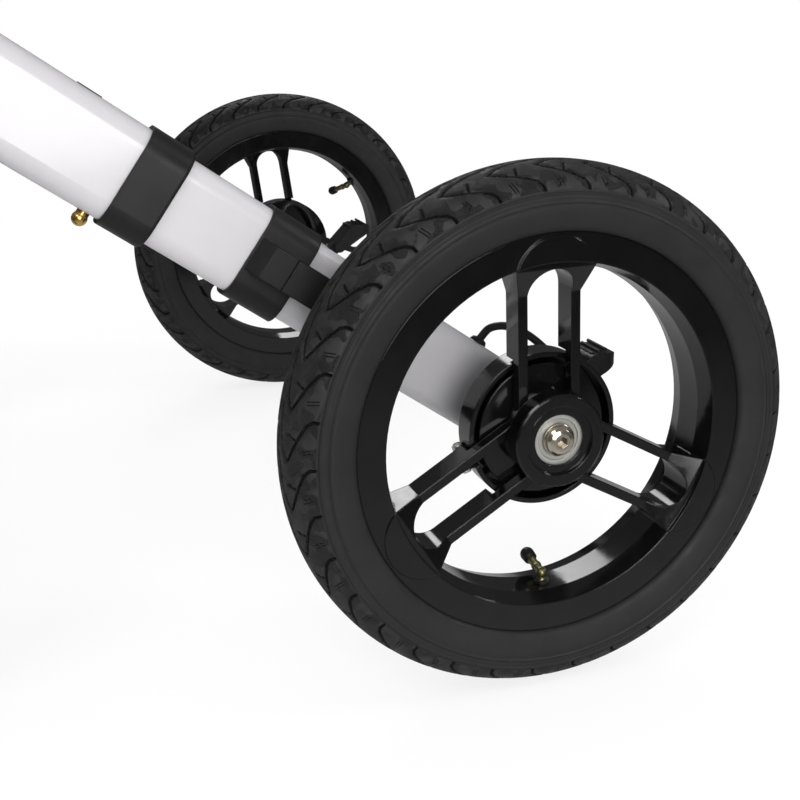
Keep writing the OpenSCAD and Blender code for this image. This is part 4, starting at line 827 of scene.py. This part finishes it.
class ROLLATOR_OT_backrest(BuildStep, bpy.types.Operator):
    """Builds the padded backrest strap with its channels, piping and end brackets."""
    bl_idname = "rollator.backrest"
    bl_label = "Backrest"

    def build(self, tyres, paint, soft):
        half = LEG_X - SIDE_TUBE_HALF - 0.0003
        bow = 0.095
        radius = (half * half + bow * bow) / (2 * bow)
        hub = Vector((0, BACK_AT.y - bow + radius, BACK_AT.z))
        reach = math.asin(half / radius)
        high = 0.090
        length = 2 * reach * radius

        def spine(v):
            angle = (2 * v - 1) * reach
            out = Vector((math.sin(angle), -math.cos(angle), 0))
            return hub + radius * out, out

        def pad(u, v):
            """u goes round the section, v along the strap."""
            p, out = spine(PAD_START + PAD_SHARE * v)
            turn = 2 * math.pi * u
            tall = math.sin(turn)
            deep = math.copysign(abs(math.cos(turn)) ** 0.75, math.cos(turn))
            ends = min(1, 9 * min(v, 1 - v)) ** 0.5
            height = (high / 2 - 0.003) * (0.74 + 0.26 * min(1, 14 * min(v, 1 - v)) ** 0.6)
            channel = 1 - 0.42 * sum(math.exp(-((tall - c) / 0.055) ** 2) for c in CHANNELS)
            tufted = 1 + 0.05 * math.sin(v * 61) * math.sin(turn * 3)
            crown = (0.0028 + soft.padding * ends * channel * tufted) * deep
            return p + out * crown + Vector((0, 0, tall * height))

        bm = mapped_grid(72, 220, pad, (0.2, length), closed=True)
        piece = make("backrest_padding", bm, finishes()["backrest_pad"], "frame",
                     ["backrest"], 70, keep_normals=True)
        for letter, u in (("a", 0.25), ("b", 0.75)):
            mesh = pipe_mesh(f"backrest_piping_{letter}", [pad(u, k / 60) for k in range(61)],
                             0.0022)
            fit_out(mesh.name, mesh, finishes()["webbing"], "frame", (), 60)
        bm = bmesh.new()
        along = [0.02 + 0.96 * k / 240 for k in range(241)]
        for tall in CHANNELS:
            for face in (-1, 1):
                u = math.asin(tall) / (2 * math.pi)
                u = u if face > 0 else 0.5 - u
                points = [pad(u, v) for v in along]
                normals = [spine(PAD_START + PAD_SHARE * v)[1] * face for v in along]
                points = [p + 0.0003 * n for p, n in zip(points, normals)]
                stitch_row(bm, points, normals, 0.0021, THREAD)
        make("backrest_stitches", bm, finishes()["thread"], "frame")
        # Webbing tab, plate and screws at each end
        for side, sign in SIDES.items():
            def tab(u, v, sign=sign):
                p, out = spine(0.5 + sign * (0.5 - 0.075 * (1 - v) - 0.004))
                return p + Vector((0, 0, (u - 0.5) * (0.062 - 0.026 * v ** 2)))
            bm = mapped_grid(16, 20, tab, (0.06, 0.05))
            strap = make(f"backrest_tab_{side}", bm, finishes()["webbing"], "frame",
                         (), 60, keep_normals=True)
            solid = strap.modifiers.new("webbing", "SOLIDIFY")
            solid.thickness, solid.offset = 0.0032, 0
            bm = bmesh.new()
            seat = Vector((sign * (half - 0.0001), BACK_AT.y, BACK_AT.z))
            square = axes(seat, (-sign, 0, 0), (0, 1, 0)) @ Matrix.Diagonal((1, 1.35, 1, 1))
            prism(bm, 4, 0.017, 0.0035, square @ Matrix.Rotation(math.pi / 4, 4, "Z"), 0, 0.005)
            for z in (-0.0095, 0.0095):
                lathe(bm, [(0, 0.0058), (0.0014, 0.0058), (0.0014, 0.0046), (0.0022, 0.0046),
                           (0.0030, 0.0052), (0.0038, 0.0034), (0.0038, 0.003), (0, 0.003)],
                      axes(seat + Vector((0, 0, z)), (-sign, 0, 0), (0, 1, 0)), 32, 1)
            kit = [finishes()["satin_plastic"], finishes()["nickel_bolt"]]
            make(f"backrest_plate_{side}", bm, kit, "frame")


class ROLLATOR_OT_grips(BuildStep, bpy.types.Operator):
    """Builds the ribbed hand grips."""
    bl_idname = "rollator.grips"
    bl_label = "Hand grips"

    def build(self, tyres, paint, soft):
        length, girth, bore, start = 0.132, 0.033, 0.01002, 0.024
        for side, sign in SIDES.items():
            root = Vector((sign * LEG_X, BAR_ROOT.y, BAR_ROOT.z)) + start * BAR_DIR
            outline = [(0, length - 0.0018), (bore, length - 0.0018), (bore, 0),
                       (girth / 2 + 0.0004, 0), (girth / 2 + 0.0018, 0.0012),
                       (girth / 2 + 0.0018, 0.003)]
            for k in range(181):
                t = k / 180
                z = 0.004 + (length - 0.008) * t
                r = girth / 2 + 0.0016 * math.sin(2 * math.pi * t - math.pi / 3)
                r -= 0.0008 * math.cos(4 * math.pi * t)
                if 0.06 < t < 0.93:
                    r -= 0.0006 * (0.5 + 0.5 * math.cos(2 * math.pi * soft.grip_ribs * t)) ** 4
                outline.append((r, z))
            outline += [(girth / 2 + 0.0008, length - 0.0025), (girth / 2 - 0.0005, length - 0.001),
                        (girth / 2 - 0.003, length), (0, length)]
            bm = bmesh.new()
            lathe(bm, outline, axes(root, BAR_DIR, (1, 0, 0)), 96)
            make(f"grip_ribbed_{side}", bm, finishes()["grip_rubber"], f"handle_{side}",
                 [f"grip_{side}"], 55)


WHITE = (1, 1, 1, 1)
# Name, place, width in metres and watts
LAMPS = (("key_lamp", (1.9, -1.3, 2.6), 1.3, 24), ("side_lamp", (1.2, 2.6, 1.7), 0.45, 17),
         ("back_lamp", (-2.6, 0.6, 2.2), 1.2, 20), ("low_lamp", (2.4, 0.1, 0.7), 1.3, 30))


class ROLLATOR_OT_stage(BuildStep, bpy.types.Operator):
    """Sets up the pale floor, the soft lamps and the camera at the photograph's angle."""
    bl_idname = "rollator.stage"
    bl_label = "Stage"

    def build(self, tyres, paint, soft):
        scene = bpy.context.scene
        scene.view_settings.view_transform = "Standard"
        bm = bmesh.new()
        bmesh.ops.create_grid(bm, x_segments=1, y_segments=1, size=8)
        mesh = bpy.data.meshes.new("floor")
        bm.to_mesh(mesh)
        bm.free()
        mesh.transform(Matrix.Translation((0, 0, -0.0005)))
        floor = bpy.data.objects.new("floor", mesh)
        scene.collection.objects.link(floor)
        mesh.materials.append(self.floor_finish())
        self.world(scene)
        for lamp in LAMPS:
            self.lamp(*lamp)
        data = bpy.data.cameras.new("camera")
        camera = bpy.data.objects.new("camera", data)
        scene.collection.objects.link(camera)
        # Fitted to the circles of both rear wheels in the photograph
        data.lens, data.sensor_width = 54.0, 36.0
        data.shift_x, data.shift_y = -0.0303, -0.0594
        data.clip_start = 0.05
        camera.matrix_world = Matrix((
            (0.3387, -0.2498, 0.9071, 0.9231), (0.9409, 0.0899, -0.3265, REAR.y - 0.2872),
            (0, 0.9641, 0.2655, 0.3816), (0, 0, 0, 1)))
        scene.camera = camera

    def floor_finish(self):
        """White but for faint shadows near the object. Glossy finishes see it grey and fading."""
        f = Finish("pale_floor", (0.88, 0.88, 0.88), 0.9)
        rays = f.node("LightPath").outputs
        glow = f.node("Emission", Color=WHITE, Strength=1.0).outputs[0]
        far = f.vectors("LENGTH", _0=f.place)["Value"]
        fading = f.remap(far, 0.5, 0.05, 0.4, 1.3)
        dim = f.node("Emission", Color=WHITE, Strength=fading).outputs[0]
        share = f.maths("MULTIPLY", rays["Is Camera Ray"], f.remap(far, 0.8, 1, 0.7, 1.6))
        mix = f.node("MixShader", _0=share, _1=f.shader.outputs[0], _2=glow).outputs[0]
        mix = f.node("MixShader", _0=rays["Is Glossy Ray"], _1=mix, _2=dim).outputs[0]
        f.tree.links.new(mix, f.tree.nodes["Material Output"].inputs[0])
        return f.material

    def world(self, scene):
        world = bpy.data.worlds.new("studio")
        scene.world = world
        world.use_nodes = True
        tree = world.node_tree
        rays = tree.nodes.new("ShaderNodeLightPath").outputs
        seen = tree.nodes["Background"]
        seen.inputs["Color"].default_value = WHITE
        seen.inputs["Strength"].default_value = 0.95
        # Glossy finishes see a dim sky that brightens overhead
        up = tree.nodes.new("ShaderNodeSeparateXYZ")
        tree.links.new(tree.nodes.new("ShaderNodeTexCoord").outputs["Generated"], up.inputs[0])
        sky = tree.nodes.new("ShaderNodeMapRange")
        tree.links.new(up.outputs["Z"], sky.inputs["Value"])
        sky.inputs["To Min"].default_value, sky.inputs["To Max"].default_value = 0.06, 0.2
        for ray, strength in (("Is Glossy Ray", sky.outputs[0]), ("Is Camera Ray", None)):
            white = tree.nodes.new("ShaderNodeBackground")
            white.inputs["Color"].default_value = WHITE
            if strength:
                tree.links.new(strength, white.inputs["Strength"])
            mix = tree.nodes.new("ShaderNodeMixShader")
            tree.links.new(rays[ray], mix.inputs[0])
            tree.links.new(seen.outputs[0], mix.inputs[1])
            tree.links.new(white.outputs[0], mix.inputs[2])
            seen = mix
        tree.links.new(seen.outputs[0], tree.nodes["World Output"].inputs[0])

    def lamp(self, name, place, size, watts):
        data = bpy.data.lights.new(name, "AREA")
        data.shape, data.size, data.energy = "DISK", size, watts
        lamp = bpy.data.objects.new(name, data)
        bpy.context.scene.collection.objects.link(lamp)
        target = Vector((0.1, REAR.y - 0.1, 0.25))
        lamp.matrix_world = axes(place, Vector(place) - target, (1, 0, 0))


class ROLLATOR_PT_build(bpy.types.Panel):
    """Lists the steps and the values that they use."""
    bl_label = "Rollator"
    bl_idname = "ROLLATOR_PT_build"
    bl_space_type = "VIEW_3D"
    bl_region_type = "UI"
    bl_category = "Rollator"

    def draw(self, context):
        for group in looks():
            box = self.layout.box()
            for key in group.__annotations__:
                box.prop(group, key)
        for step in STEPS:
            self.layout.operator(step.bl_idname)


STEPS = (ROLLATOR_OT_finishes, ROLLATOR_OT_tyres, ROLLATOR_OT_valves, ROLLATOR_OT_brakes,
         ROLLATOR_OT_seat, ROLLATOR_OT_backrest, ROLLATOR_OT_grips, ROLLATOR_OT_stage)
GROUPS = {"rollator_tyres": TyreLooks, "rollator_frame": FrameLooks, "rollator_soft": SoftLooks}
CLASSES = (*GROUPS.values(), *STEPS, ROLLATOR_PT_build)


def register():
    for kind in CLASSES:
        bpy.utils.register_class(kind)
    for name, group in GROUPS.items():
        setattr(bpy.types.Scene, name, PointerProperty(type=group))


def unregister():
    for name in GROUPS:
        delattr(bpy.types.Scene, name)
    for kind in reversed(CLASSES):
        bpy.utils.unregister_class(kind)


def main():
    register()
    for step in STEPS:
        group, name = step.bl_idname.split(".")
        getattr(getattr(bpy.ops, group), name)()


if __name__ == "__main__":
    main()
